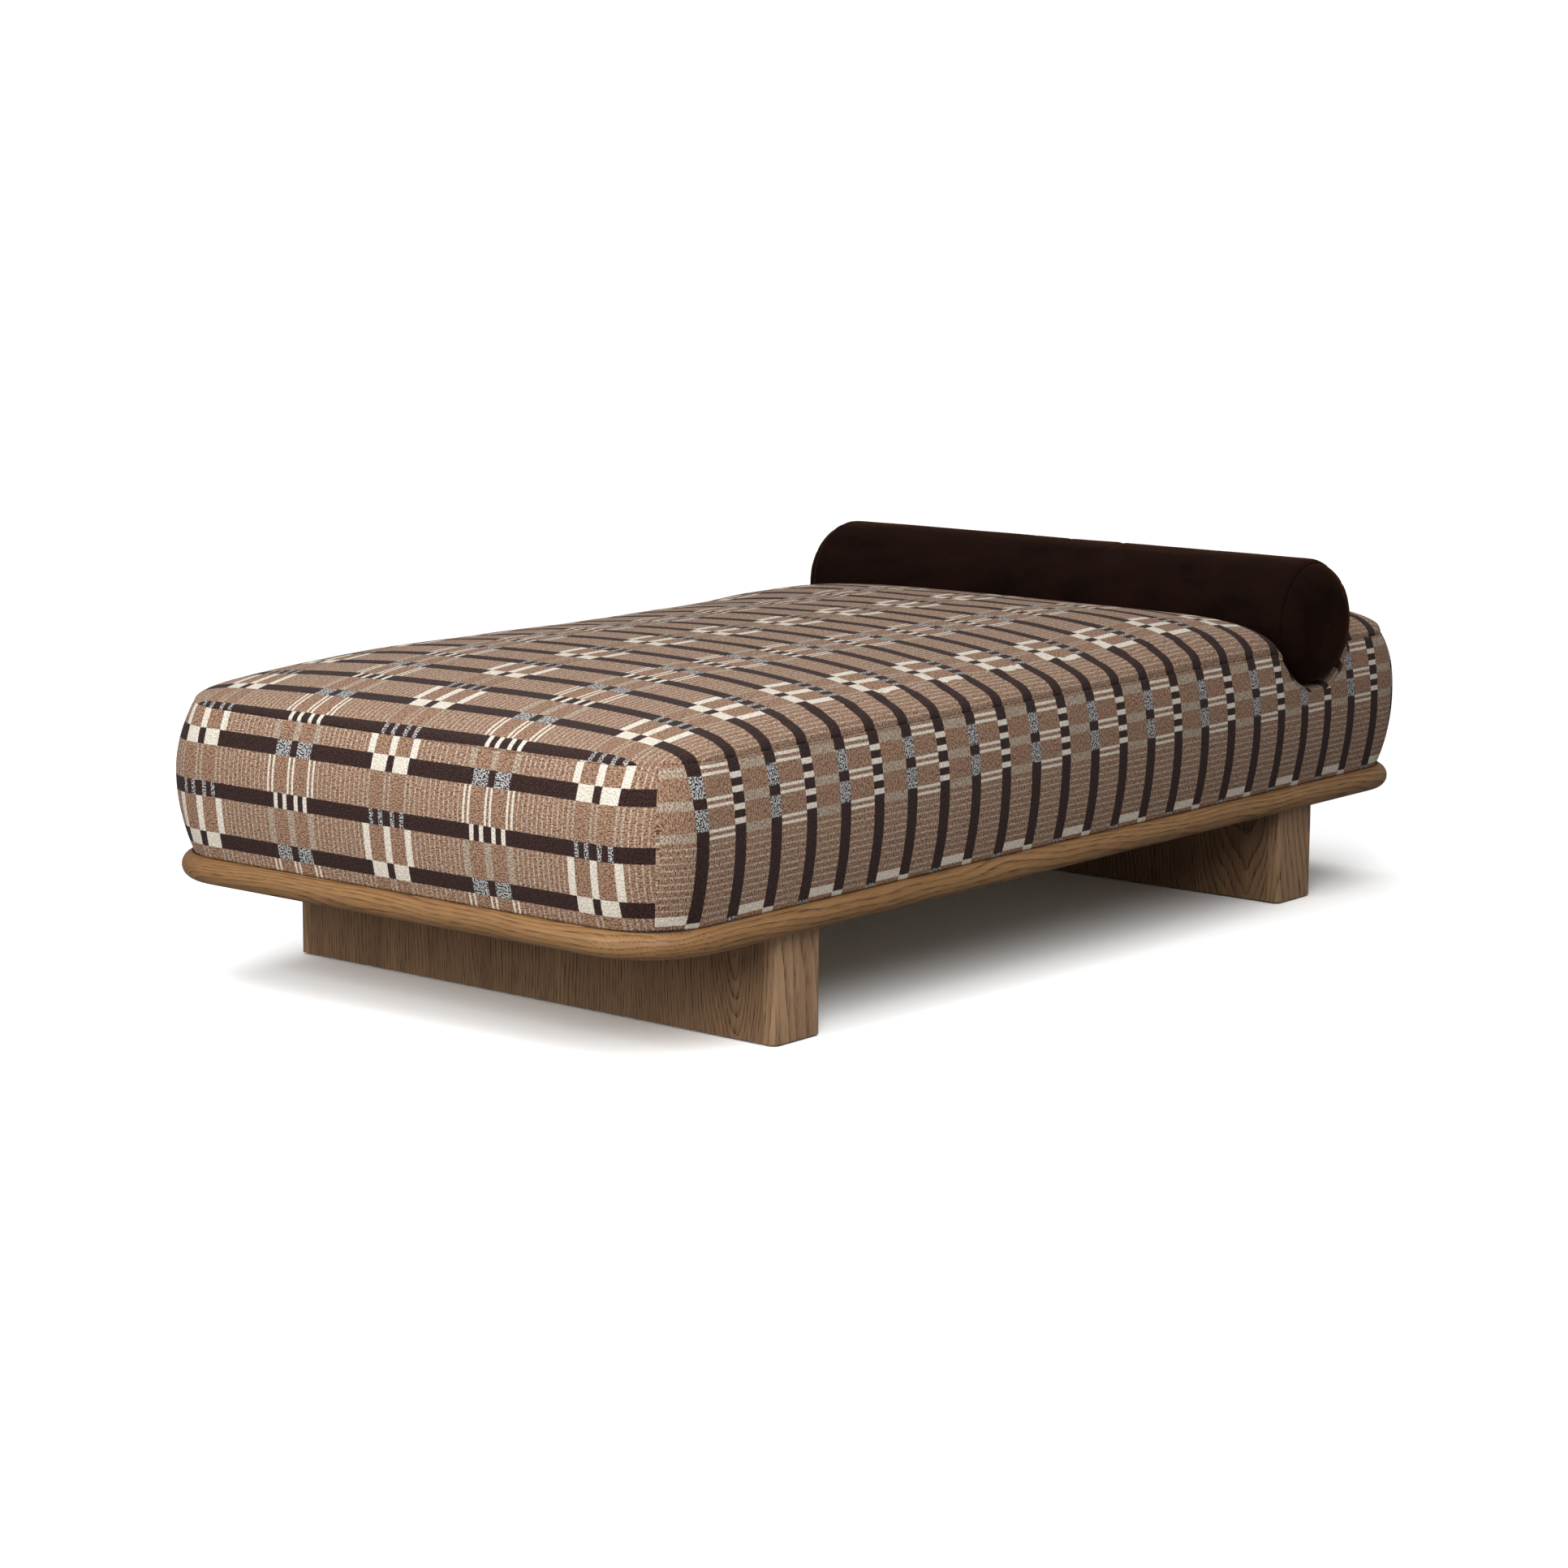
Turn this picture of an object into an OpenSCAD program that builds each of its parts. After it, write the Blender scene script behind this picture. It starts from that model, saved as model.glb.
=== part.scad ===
// Upholstered daybed: an oak platform on two slab legs, a crowned seat with a
// channel across it near the head end, and a loose round bolster in the channel.
// Origin: centre of the footprint on the floor. +X points to the head end.

/* [Overall] */
// Length of the platform, foot end to head end
platform_l = 2083; // [1900:1:2200]
// Width of the platform
platform_w = 1067; // [950:1:1150]
// Height of the platform's underside above the floor
leg_h = 169; // [140:1:220]

/* [Platform] */
// Thickness of the oak rails, which have a full round edge
rail_t = 40; // [34:1:48]
// Width of the oak rails
rail_w = 150; // [145:1:180]
// Radius of the platform's corners, seen from above
platform_r = 137; // [110:1:142]
// Thickness of the two deck panels
deck_t = 18; // [15:1:20]

/* [Legs] */
// Distance from the middle of the daybed to the middle of each leg
leg_x = 691; // [640:1:710]
// Thickness of each slab leg
leg_t = 108; // [90:1:120]
// Width of each slab leg, across the daybed
leg_w = 1000; // [900:1:1000]
// Thickness of the legs' veneered face panels
leg_panel_t = 12; // [9:1:18]
// Depth of the solid end of each leg
leg_end_d = 22; // [20:1:60]
// Radius of the legs' upright edges
leg_edge_r = 10; // [6:1:18]
// Height of the floor pads
pad_h = 3; // [2:1:5]

/* [Seat] */
// How far the seat's belly stands inside the platform's edge
seat_margin = 2.5; // [1:0.5:10]
// Radius of the seat's corners, seen from above
seat_r = 115; // [90:1:120]
// Height of the seam round the shoulder
seam_z = 447; // [430:1:460]
// Height of the crown in the middle of the seat
crown_z = 528; // [515:1:540]
// Height of the head section behind the bolster
head_z = 508; // [500:1:520]
// Thickness of the cover fabric
cover_t = 2; // [1.5:0.5:3]

/* [Bolster] */
// Distance from the middle of the daybed to the bolster's axis
bolster_x = 704; // [690:1:740]
// Height of the bolster's axis
bolster_z = 492; // [484:1:500]
// Radius of the bolster
bolster_r = 110; // [95:1:112]
// Length of the bolster
bolster_l = 1066; // [1000:1:1066]
// Rounding of the bolster's ends
bolster_end_r = 46; // [30:1:60]
// Room between the bolster and the channel's lining
channel_gap = 1.5; // [1:0.5:4]

/* [Hidden] */
$fn = 64;
eps = 1;                                 // overshoot of cutting tools

// Platform
half_l = platform_l / 2;
half_w = platform_w / 2;
platform_z = leg_h + rail_t;             // top of the platform
opening_x = half_l - rail_w;             // inside of the rail frame
opening_y = half_w - rail_w;
bearer_t = rail_t - deck_t;
centre_bearer_w = 90;
ledger_w = 22;
ledger_gap = 1;                          // between the end strips and the side strips
deck_joint = 0.5;                        // half the joint between the deck panels
spline_l = 100;
spline_in = 50;                          // splines' middle, out from the rail frame's inner corner
spline_w = 30;
spline_t = 6;

// Legs
leg_rail_t = 30;
pad_r = 15;
pad_y = [-440, 0, 440];

// Bolts
bolt_r = 4;
bolt_head_r = 8;
bolt_head_h = 5;
leg_bolt_y = [-300, 0, 300];
seat_bolt_y = [-250, 250];
seat_bolt_grip = 30;                     // length of thread in the cross rails

// Seat outline
dust_t = 1;
seat_z = platform_z + dust_t;            // underside of the seat
seat_hx = half_l - seat_margin;          // half length at the belly
seat_hy = half_w - seat_margin;          // half width at the belly
belly_z = seat_z + 125;                  // height of the widest line
sole_pull = 18;                          // how far the seat draws in at its underside
side_pull = 17;                          // how far the long sides draw in at the seam
end_pull = 26;                           // how far the ends draw in at the seam
wall_steps = 5;
crown_step = 12;                         // degrees between the crown's outline points
channel_r = bolster_r + channel_gap;     // inside of the channel's lining
lip_front = bolster_x - channel_r;
lip_back = bolster_x + channel_r;
lip_z = 500;                             // height of the channel's front lip
lip_reach = 60;                          // the crown's curve runs this far past the lip
cradle_wall = 46;                        // foam beside the channel, front and back

// Seat frame inside the foam
frame_x = 965;
frame_y = 457;
board_t = 22;
board_h = 121;
frame_z = seat_z + board_h;              // top of the frame
cross_rail_x = [-480, 0, 480];
cross_rail_w = 34;
block_leg = 60;
block_h = 80;
strap_w = 50;
strap_t = 2;
long_strap_y = [-320, -160, 0, 160, 320];
cross_strap_pitch = 190;
foam_z = frame_z + 2 * strap_t;          // underside of the upper foam

// Bolster
bolster_cover_t = 1.5;
wadding_t = 12;
cap_seam = 20;                           // cap seam's distance from the bolster's end
zip_w = 12;
zip_l = 700;

// ---------- shared shapes ----------

// Box from two corners
module box(low, high) {
    translate(low)
        cube(high - low);
}

// Upright slab with rounded corners, centred on the origin
module rounded_slab(hx, hy, r, z0, z1) {
    box([-hx + r, -hy, z0], [hx - r, hy, z1]);
    box([-hx, -hy + r, z0], [hx, hy - r, z1]);
    for (sx = [-1, 1], sy = [-1, 1])
        translate([sx * (hx - r), sy * (hy - r), z0])
            cylinder(h = z1 - z0, r = r);
}

// The quarter of the plan that lies against one side, cut at 45 degrees at both corners
module side_wedge(side, z0, z1) {
    reach = half_w + 50;
    ends = half_l - half_w;
    outline = side == "near" ? [[-ends, 0], [-ends - reach, -reach], [ends + reach, -reach], [ends, 0]]
        : side == "far" ? [[-ends, 0], [ends, 0], [ends + reach, reach], [-ends - reach, reach]]
        : side == "foot" ? [[-ends, 0], [-ends - reach, reach], [-ends - reach, -reach]]
        : [[ends, 0], [ends + reach, -reach], [ends + reach, reach]];
    translate([0, 0, z0])
        linear_extrude(height = z1 - z0)
            polygon(outline);
}

// Hexagon-headed bolt, standing on its head at z
module bolt(x, y, z, grip) {
    translate([x, y, z])
        cylinder(h = bolt_head_h, r = bolt_head_r, $fn = 6);
    translate([x, y, z + bolt_head_h])
        cylinder(h = grip, r = bolt_r);
}

// ---------- legs ----------

// One slab leg's pieces, at x. out is the direction of its outer face
module leg_face(x, out) {
    color("#5b4434")
        translate([x, 0, 0])
            box([min(out * leg_t / 2, out * (leg_t / 2 - leg_panel_t)), -leg_w / 2 + leg_end_d, pad_h],
                [max(out * leg_t / 2, out * (leg_t / 2 - leg_panel_t)), leg_w / 2 - leg_end_d, leg_h]);
}

module leg_end(x, side) {
    y_out = leg_w / 2;
    y_in = y_out - leg_end_d;
    color("#8a6b48")
        translate([x, 0, 0])
            mirror([0, side < 0 ? 1 : 0, 0]) {
                box([-leg_t / 2, y_in, pad_h], [leg_t / 2, y_out - leg_edge_r, leg_h]);
                box([-leg_t / 2 + leg_edge_r, y_in, pad_h], [leg_t / 2 - leg_edge_r, y_out, leg_h]);
                for (sx = [-1, 1])
                    translate([sx * (leg_t / 2 - leg_edge_r), y_out - leg_edge_r, pad_h])
                        cylinder(h = leg_h - pad_h, r = leg_edge_r);
            }
}

module leg_rail(x, z) {
    in_x = leg_t / 2 - leg_panel_t;
    in_y = leg_w / 2 - leg_end_d;
    color("#c9a878")
        difference() {
            box([x - in_x, -in_y, z], [x + in_x, in_y, z + leg_rail_t]);
            if (z > leg_h / 2)
                for (y = leg_bolt_y)
                    translate([x, y, z - eps])
                        cylinder(h = leg_rail_t + 2 * eps, r = bolt_r);
        }
}

module foot_leg_outer_panel() { leg_face(-leg_x, -1); }
module foot_leg_inner_panel() { leg_face(-leg_x, 1); }
module foot_leg_near_end() { leg_end(-leg_x, -1); }
module foot_leg_far_end() { leg_end(-leg_x, 1); }
module foot_leg_top_rail() { leg_rail(-leg_x, leg_h - leg_rail_t); }
module foot_leg_bottom_rail() { leg_rail(-leg_x, pad_h); }
module head_leg_outer_panel() { leg_face(leg_x, 1); }
module head_leg_inner_panel() { leg_face(leg_x, -1); }
module head_leg_near_end() { leg_end(leg_x, -1); }
module head_leg_far_end() { leg_end(leg_x, 1); }
module head_leg_top_rail() { leg_rail(leg_x, leg_h - leg_rail_t); }
module head_leg_bottom_rail() { leg_rail(leg_x, pad_h); }

// Glued felt pads, three under each leg
module floor_pads() {
    color("#3d3a37")
        for (x = [-leg_x, leg_x], y = pad_y)
            translate([x, y, 0])
                cylinder(h = pad_h, r = pad_r);
}

// Bolts from inside each leg up into the bearer above it
module leg_bolts() {
    color("#b8bcc0")
        for (x = [-leg_x, leg_x], y = leg_bolt_y)
            bolt(x, y, leg_h - leg_rail_t - bolt_head_h, leg_rail_t + bearer_t);
}

// ---------- platform ----------

// The whole rail frame before its corners are mitred: a slab with a full round edge
module rail_blank() {
    edge_r = rail_t / 2;
    bend_r = platform_r - edge_r;
    hx = half_l - edge_r;
    hy = half_w - edge_r;
    z = leg_h + edge_r;
    difference() {
        union() {
            rounded_slab(hx, hy, bend_r, leg_h, platform_z);
            for (s = [-1, 1]) {
                translate([-hx + bend_r, s * hy, z])
                    rotate([0, 90, 0])
                        cylinder(h = 2 * (hx - bend_r), r = edge_r);
                translate([s * hx, hy - bend_r, z])
                    rotate([90, 0, 0])
                        cylinder(h = 2 * (hy - bend_r), r = edge_r);
            }
            for (sx = [-1, 1], sy = [-1, 1])
                translate([sx * (hx - bend_r), sy * (hy - bend_r), z])
                    rotate_extrude()
                        translate([bend_r, 0])
                            circle(r = edge_r);
        }
        box([-opening_x, -opening_y, leg_h - eps], [opening_x, opening_y, platform_z + eps]);
    }
}

// Loose tongues across the four mitres
module spline_tongues() {
    for (sx = [-1, 1], sy = [-1, 1])
        translate([sx * (opening_x + spline_in), sy * (opening_y + spline_in), leg_h + rail_t / 2])
            rotate([0, 0, sx * sy * 45])
                cube([spline_l, spline_w, spline_t], center = true);
}

module oak_rail(side) {
    color("#a27c4c")
        difference() {
            intersection() {
                rail_blank();
                side_wedge(side, leg_h - eps, platform_z + eps);
            }
            spline_tongues();
        }
}

module rail_foot() { oak_rail("foot"); }
module rail_head() { oak_rail("head"); }
module rail_near() { oak_rail("near"); }
module rail_far() { oak_rail("far"); }

module corner_splines() {
    color("#d8bd8e")
        spline_tongues();
}

// Strips round the inside of the rails that carry the deck's edges
module ledger_strips() {
    side_in = opening_y - ledger_w;
    end_reach = side_in - ledger_gap;
    leg_edge = leg_x + leg_t / 2;
    leg_back = leg_x - leg_t / 2;
    color("#d2b587")
        for (s = [-1, 1]) {
            for (run = [[-opening_x, -leg_edge], [-leg_back, -centre_bearer_w / 2],
                        [centre_bearer_w / 2, leg_back], [leg_edge, opening_x]])
                box([run[0], min(s * side_in, s * opening_y), leg_h],
                    [run[1], max(s * side_in, s * opening_y), leg_h + bearer_t]);
            box([min(s * (opening_x - ledger_w), s * opening_x), -end_reach, leg_h],
                [max(s * (opening_x - ledger_w), s * opening_x), end_reach, leg_h + bearer_t]);
        }
}

// Cross bearer under the deck, w wide
module bearer(x, w, bored) {
    color("#d2b587")
        difference() {
            box([x - w / 2, -opening_y, leg_h], [x + w / 2, opening_y, leg_h + bearer_t]);
            if (bored)
                for (y = leg_bolt_y)
                    translate([x, y, leg_h - eps])
                        cylinder(h = bearer_t + 2 * eps, r = bolt_r);
        }
}

module foot_bearer() { bearer(-leg_x, leg_t, true); }
module centre_bearer() { bearer(0, centre_bearer_w, false); }
module head_bearer() { bearer(leg_x, leg_t, true); }

module deck_panel(x0, x1) {
    color("#dcc59a")
        difference() {
            box([x0, -opening_y, leg_h + bearer_t], [x1, opening_y, platform_z]);
            for (x = [cross_rail_x[0], cross_rail_x[2]], y = seat_bolt_y)
                if (x > x0 && x < x1)
                    translate([x, y, leg_h])
                        cylinder(h = rail_t + eps, r = bolt_r);
        }
}

module deck_panel_foot() { deck_panel(-opening_x, -deck_joint); }
module deck_panel_head() { deck_panel(deck_joint, opening_x); }

// ---------- seat outline ----------

// How far the wall stands inside the belly at height z, drawing in by pull at the seam
function wall_in(z, pull) = z < belly_z
    ? sole_pull * pow((belly_z - z) / (belly_z - seat_z), 2)
    : pull * pow((z - belly_z) / (seam_z - belly_z), 2);

// Height levels of the wall, from the underside to the seam
function wall_levels(inset) = [for (k = [0:2 * wall_steps])
    k < wall_steps ? seat_z + (belly_z - seat_z) * k / wall_steps - (k == 0 ? inset : 0)
        : belly_z + (seam_z - belly_z) * (k - wall_steps) / wall_steps];

// Height of the top across the seat, where t runs from 0 in the middle to 1 at the seam
function top_across(t, inset) = seam_z + (crown_z - inset - seam_z) * pow(1 - pow(t, 2), 0.43);

// Height of the top from the middle to the foot end's seam
function top_to_foot(t, inset) = seam_z + (crown_z - inset - seam_z) * pow(1 - pow(t, 4), 0.55);

// Height of the top from the middle to the channel's front lip
function top_to_lip(x, inset) =
    crown_z - inset - (crown_z - lip_z) * pow(x / (lip_front - lip_reach / 3), 4);

// Height of the head section, where t runs from 0 at the channel to 1 at the seam
function top_to_head(t, inset) = seam_z + (head_z - inset - seam_z) * pow(1 - pow(t, 3), 0.5);

// Outline across the seat, as [y, z]
function across_outline(inset) = let (
    hy = seat_hy - inset,
    wall = [for (z = wall_levels(inset)) [hy - wall_in(z, side_pull), z]],
    crown = [for (a = [90 - crown_step / 2 : -crown_step : -90])
        [(hy - side_pull) * sin(a), top_across(abs(sin(a)), inset)]],
    other = [for (k = [len(wall) - 1 : -1 : 0]) [-wall[k][0], wall[k][1]]]
) concat(wall, crown, other);

// Outline along the seat, as [x, z]
function along_outline(inset) = let (
    hx = seat_hx - inset,
    seam_x = hx - end_pull,
    wall = [for (z = wall_levels(inset)) [hx - wall_in(z, end_pull), z]],
    head = [for (a = [90 - crown_step : -crown_step : 0])
        [lip_back + (seam_x - lip_back) * sin(a), top_to_head(sin(a), inset)]],
    body = [for (k = [8 : -1 : 1])
        [lip_front * k / 8, top_to_lip(lip_front * k / 8, inset)]],
    foot = [for (a = [0 : crown_step : 90 - crown_step / 2])
        [-seam_x * sin(a), top_to_foot(sin(a), inset)]],
    other = [for (k = [len(wall) - 1 : -1 : 0]) [-wall[k][0], wall[k][1]]]
) concat(wall, head, body, foot, other);

// The whole seat without its channel, drawn in by inset on every side but the underside
module seat_form(inset) {
    intersection() {
        rotate([90, 0, 90])
            linear_extrude(height = platform_l, center = true)
                polygon(across_outline(inset));
        rotate([90, 0, 0])
            linear_extrude(height = platform_w, center = true)
                polygon(along_outline(inset));
        rounded_slab(seat_hx - inset, seat_hy - inset, seat_r - inset, seat_z - 2 * inset, crown_z + eps);
    }
}

// Space of the bolster's channel, with its sides straight up from the axis
module channel_slot(r) {
    translate([bolster_x, 0, bolster_z])
        rotate([90, 0, 0])
            cylinder(h = platform_w, r = r, center = true);
    box([bolster_x - r, -half_w, bolster_z], [bolster_x + r, half_w, crown_z + 2 * eps]);
}

module seat_foam(x0, x1) {
    color("#e8dfc6")
        intersection() {
            seat_form(cover_t);
            box([x0, -half_w, foam_z], [x1, half_w, crown_z]);
        }
}

// ---------- seat pieces ----------

module dust_cover() {
    edge = sole_pull + cover_t + 2;
    color("#1f1f1f")
        difference() {
            rounded_slab(seat_hx - edge, seat_hy - edge, seat_r - edge, platform_z, seat_z);
            for (x = [cross_rail_x[0], cross_rail_x[2]], y = seat_bolt_y)
                translate([x, y, platform_z - eps])
                    cylinder(h = dust_t + 2 * eps, r = bolt_r);
        }
}

// Bolts from under the deck into the seat's cross rails
module seat_bolts() {
    color("#b8bcc0")
        for (x = [cross_rail_x[0], cross_rail_x[2]], y = seat_bolt_y)
            bolt(x, y, leg_h + bearer_t - bolt_head_h, deck_t + dust_t + seat_bolt_grip);
}

module long_board(side) {
    color("#d9bb8a")
        box([-frame_x, min(side * frame_y, side * (frame_y - board_t)), seat_z],
            [frame_x, max(side * frame_y, side * (frame_y - board_t)), frame_z]);
}

module end_board(side) {
    color("#d9bb8a")
        box([min(side * frame_x, side * (frame_x - board_t)), -frame_y + board_t, seat_z],
            [max(side * frame_x, side * (frame_x - board_t)), frame_y - board_t, frame_z]);
}

module frame_board_near() { long_board(-1); }
module frame_board_far() { long_board(1); }
module frame_board_foot() { end_board(-1); }
module frame_board_head() { end_board(1); }

module frame_cross_rails() {
    color("#d9bb8a")
        difference() {
            for (x = cross_rail_x)
                box([x - cross_rail_w / 2, -frame_y + board_t, seat_z],
                    [x + cross_rail_w / 2, frame_y - board_t, frame_z]);
            for (x = [cross_rail_x[0], cross_rail_x[2]], y = seat_bolt_y)
                translate([x, y, seat_z - eps])
                    cylinder(h = seat_bolt_grip + eps, r = bolt_r);
        }
}

// Triangular glue blocks in the frame's corners
module frame_corner_blocks() {
    in_x = frame_x - board_t;
    in_y = frame_y - board_t;
    color("#cfae79")
        for (sx = [-1, 1], sy = [-1, 1])
            translate([0, 0, frame_z - block_h])
                linear_extrude(height = block_h)
                    polygon([[sx * in_x, sy * in_y], [sx * (in_x - block_leg), sy * in_y],
                             [sx * in_x, sy * (in_y - block_leg)]]);
}

// Elastic straps along the frame
module webbing_long() {
    color("#6d5a45")
        for (y = long_strap_y)
            box([-frame_x, y - strap_w / 2, frame_z], [frame_x, y + strap_w / 2, frame_z + strap_t]);
}

// Elastic straps across the frame, lying on the long ones
module webbing_cross() {
    color("#7a664f")
        for (k = [-4.5 : 1 : 4.5])
            box([k * cross_strap_pitch - strap_w / 2, -frame_y, frame_z + strap_t],
                [k * cross_strap_pitch + strap_w / 2, frame_y, frame_z + 2 * strap_t]);
}

// Foam round the outside of the frame, one pad to a side
module foam_pad(side) {
    color("#e4d9bd")
        difference() {
            intersection() {
                seat_form(cover_t);
                side_wedge(side, seat_z, foam_z);
            }
            box([-frame_x, -frame_y, seat_z - eps], [frame_x, frame_y, foam_z + eps]);
        }
}

module foam_pad_near() { foam_pad("near"); }
module foam_pad_far() { foam_pad("far"); }
module foam_pad_foot() { foam_pad("foot"); }
module foam_pad_head() { foam_pad("head"); }

module foam_main() { seat_foam(-half_l, lip_front - cradle_wall); }
module foam_head() { seat_foam(lip_back + cradle_wall, half_l); }

// Foam block that the bolster's channel is cut in
module foam_cradle() {
    difference() {
        seat_foam(lip_front - cradle_wall, lip_back + cradle_wall);
        color("#e8dfc6")
            channel_slot(channel_r + cover_t);
    }
}

// The cover as one skin, before it is cut into panels at its seams
module cover_skin(tone) {
    color(tone)
        difference() {
            seat_form(0);
            seat_form(cover_t);
            channel_slot(channel_r + cover_t);
        }
}

module top_cover(x0, x1) {
    intersection() {
        cover_skin("#a98c72");
        box([x0, -half_w, seam_z], [x1, half_w, crown_z + eps]);
    }
}

module side_cover(side) {
    intersection() {
        cover_skin("#9b7b60");
        side_wedge(side, seat_z, seam_z);
    }
}

module cover_main_top() { top_cover(-half_l, bolster_x); }
module cover_head_top() { top_cover(bolster_x, half_l); }
module cover_side_near() { side_cover("near"); }
module cover_side_far() { side_cover("far"); }
module cover_foot() { side_cover("foot"); }
module cover_head() { side_cover("head"); }

// Lining of the channel
module cover_channel() {
    color("#9b7b60")
        difference() {
            intersection() {
                seat_form(0);
                channel_slot(channel_r + cover_t);
            }
            channel_slot(channel_r);
        }
}

// ---------- bolster ----------

// Half outline of the bolster as [radius, distance along the axis], drawn in by inset
function bolster_outline(inset) = let (
    r = bolster_end_r - inset,
    cr = bolster_r - bolster_end_r,
    cy = bolster_l / 2 - bolster_end_r
) concat([[0, -cy - r]], [for (a = [-90 : 10 : 0]) [cr + r * cos(a), -cy + r * sin(a)]],
    [for (a = [0 : 10 : 90]) [cr + r * cos(a), cy + r * sin(a)]], [[0, cy + r]]);

module bolster_form(inset) {
    translate([bolster_x, 0, bolster_z])
        rotate([-90, 0, 0])
            rotate_extrude()
                polygon(bolster_outline(inset));
}

module bolster_skin() {
    difference() {
        bolster_form(0);
        bolster_form(bolster_cover_t);
    }
}

// Strip along the bolster's underside where the zip lies
module zip_strip() {
    box([bolster_x - zip_w / 2, -zip_l / 2, bolster_z - bolster_r - eps],
        [bolster_x + zip_w / 2, zip_l / 2, bolster_z - bolster_r / 2]);
}

module bolster_core() {
    color("#e8dfc6")
        bolster_form(wadding_t);
}

module bolster_wadding() {
    color("#f2efe8")
        difference() {
            bolster_form(bolster_cover_t);
            bolster_form(wadding_t);
        }
}

module bolster_cover() {
    reach = bolster_l / 2 - cap_seam;
    color("#241611")
        difference() {
            intersection() {
                bolster_skin();
                box([bolster_x - 2 * bolster_r, -reach, bolster_z - 2 * bolster_r],
                    [bolster_x + 2 * bolster_r, reach, bolster_z + 2 * bolster_r]);
            }
            zip_strip();
        }
}

module bolster_cap(side) {
    inner = bolster_l / 2 - cap_seam;
    outer = half_w + bolster_r;
    color("#241611")
        intersection() {
            bolster_skin();
            box([bolster_x - 2 * bolster_r, side > 0 ? inner : -outer, bolster_z - 2 * bolster_r],
                [bolster_x + 2 * bolster_r, side > 0 ? outer : -inner, bolster_z + 2 * bolster_r]);
        }
}

module bolster_cap_near() { bolster_cap(-1); }
module bolster_cap_far() { bolster_cap(1); }

module bolster_zip() {
    color("#17110e")
        intersection() {
            bolster_skin();
            zip_strip();
        }
}

// ---------- every node ----------

foot_leg_outer_panel();
foot_leg_inner_panel();
foot_leg_near_end();
foot_leg_far_end();
foot_leg_top_rail();
foot_leg_bottom_rail();
head_leg_outer_panel();
head_leg_inner_panel();
head_leg_near_end();
head_leg_far_end();
head_leg_top_rail();
head_leg_bottom_rail();
floor_pads();
leg_bolts();
rail_foot();
rail_head();
rail_near();
rail_far();
corner_splines();
ledger_strips();
foot_bearer();
centre_bearer();
head_bearer();
deck_panel_foot();
deck_panel_head();
dust_cover();
seat_bolts();
frame_board_near();
frame_board_far();
frame_board_foot();
frame_board_head();
frame_cross_rails();
frame_corner_blocks();
webbing_long();
webbing_cross();
foam_pad_near();
foam_pad_far();
foam_pad_foot();
foam_pad_head();
foam_main();
foam_cradle();
foam_head();
cover_main_top();
cover_head_top();
cover_channel();
cover_side_near();
cover_side_far();
cover_foot();
cover_head();
bolster_core();
bolster_wadding();
bolster_cover();
bolster_cap_near();
bolster_cap_far();
bolster_zip();
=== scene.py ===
"""Looks of the daybed: plaid seat panels, velvet bolster and oak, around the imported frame.

Lengths are in metres. +X points to the head end, -Y is the near long side, +Z is up.
"""

import math

import bpy
import numpy as np
from mathutils.kdtree import KDTree
from mathutils import Matrix, Vector


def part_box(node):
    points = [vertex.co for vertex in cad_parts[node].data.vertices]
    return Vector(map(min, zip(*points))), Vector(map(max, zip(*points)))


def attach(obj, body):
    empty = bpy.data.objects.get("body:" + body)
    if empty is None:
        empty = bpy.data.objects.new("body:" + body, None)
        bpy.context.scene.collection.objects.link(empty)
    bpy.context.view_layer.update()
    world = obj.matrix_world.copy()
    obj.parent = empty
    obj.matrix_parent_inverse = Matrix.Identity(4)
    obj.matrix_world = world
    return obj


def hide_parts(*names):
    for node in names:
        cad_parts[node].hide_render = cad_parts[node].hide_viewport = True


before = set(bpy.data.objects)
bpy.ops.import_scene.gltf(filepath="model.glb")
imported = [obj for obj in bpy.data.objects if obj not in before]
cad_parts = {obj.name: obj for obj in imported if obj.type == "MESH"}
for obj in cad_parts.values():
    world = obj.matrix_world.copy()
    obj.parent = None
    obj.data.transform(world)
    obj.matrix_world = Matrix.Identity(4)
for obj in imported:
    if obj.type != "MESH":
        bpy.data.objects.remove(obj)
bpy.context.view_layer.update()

# ---------- sizes read from the frame ----------

NEAR_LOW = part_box("cover_side_near")[0]
FOOT_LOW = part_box("cover_foot")[0]
TOP_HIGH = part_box("cover_main_top")[1]
TUBE_LOW, TUBE_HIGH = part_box("bolster_cover")
CAP_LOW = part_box("bolster_cap_near")[0]

BELLY_X = -FOOT_LOW.x
BELLY_Y = -NEAR_LOW.y
SOLE_Z = NEAR_LOW.z
CROWN_Z = TOP_HIGH.z
BOLSTER_X = (TUBE_LOW.x + TUBE_HIGH.x) / 2
BOLSTER_Z = (TUBE_LOW.z + TUBE_HIGH.z) / 2
BOLSTER_R = (TUBE_HIGH.x - TUBE_LOW.x) / 2
CAP_PUFF = 0.014                 # the caps' padding stands out this far
BOLSTER_HALF = -CAP_LOW.y + CAP_PUFF
CAP_SEAM_Y = TUBE_HIGH.y

# ---------- the seat's shape ----------

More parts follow.
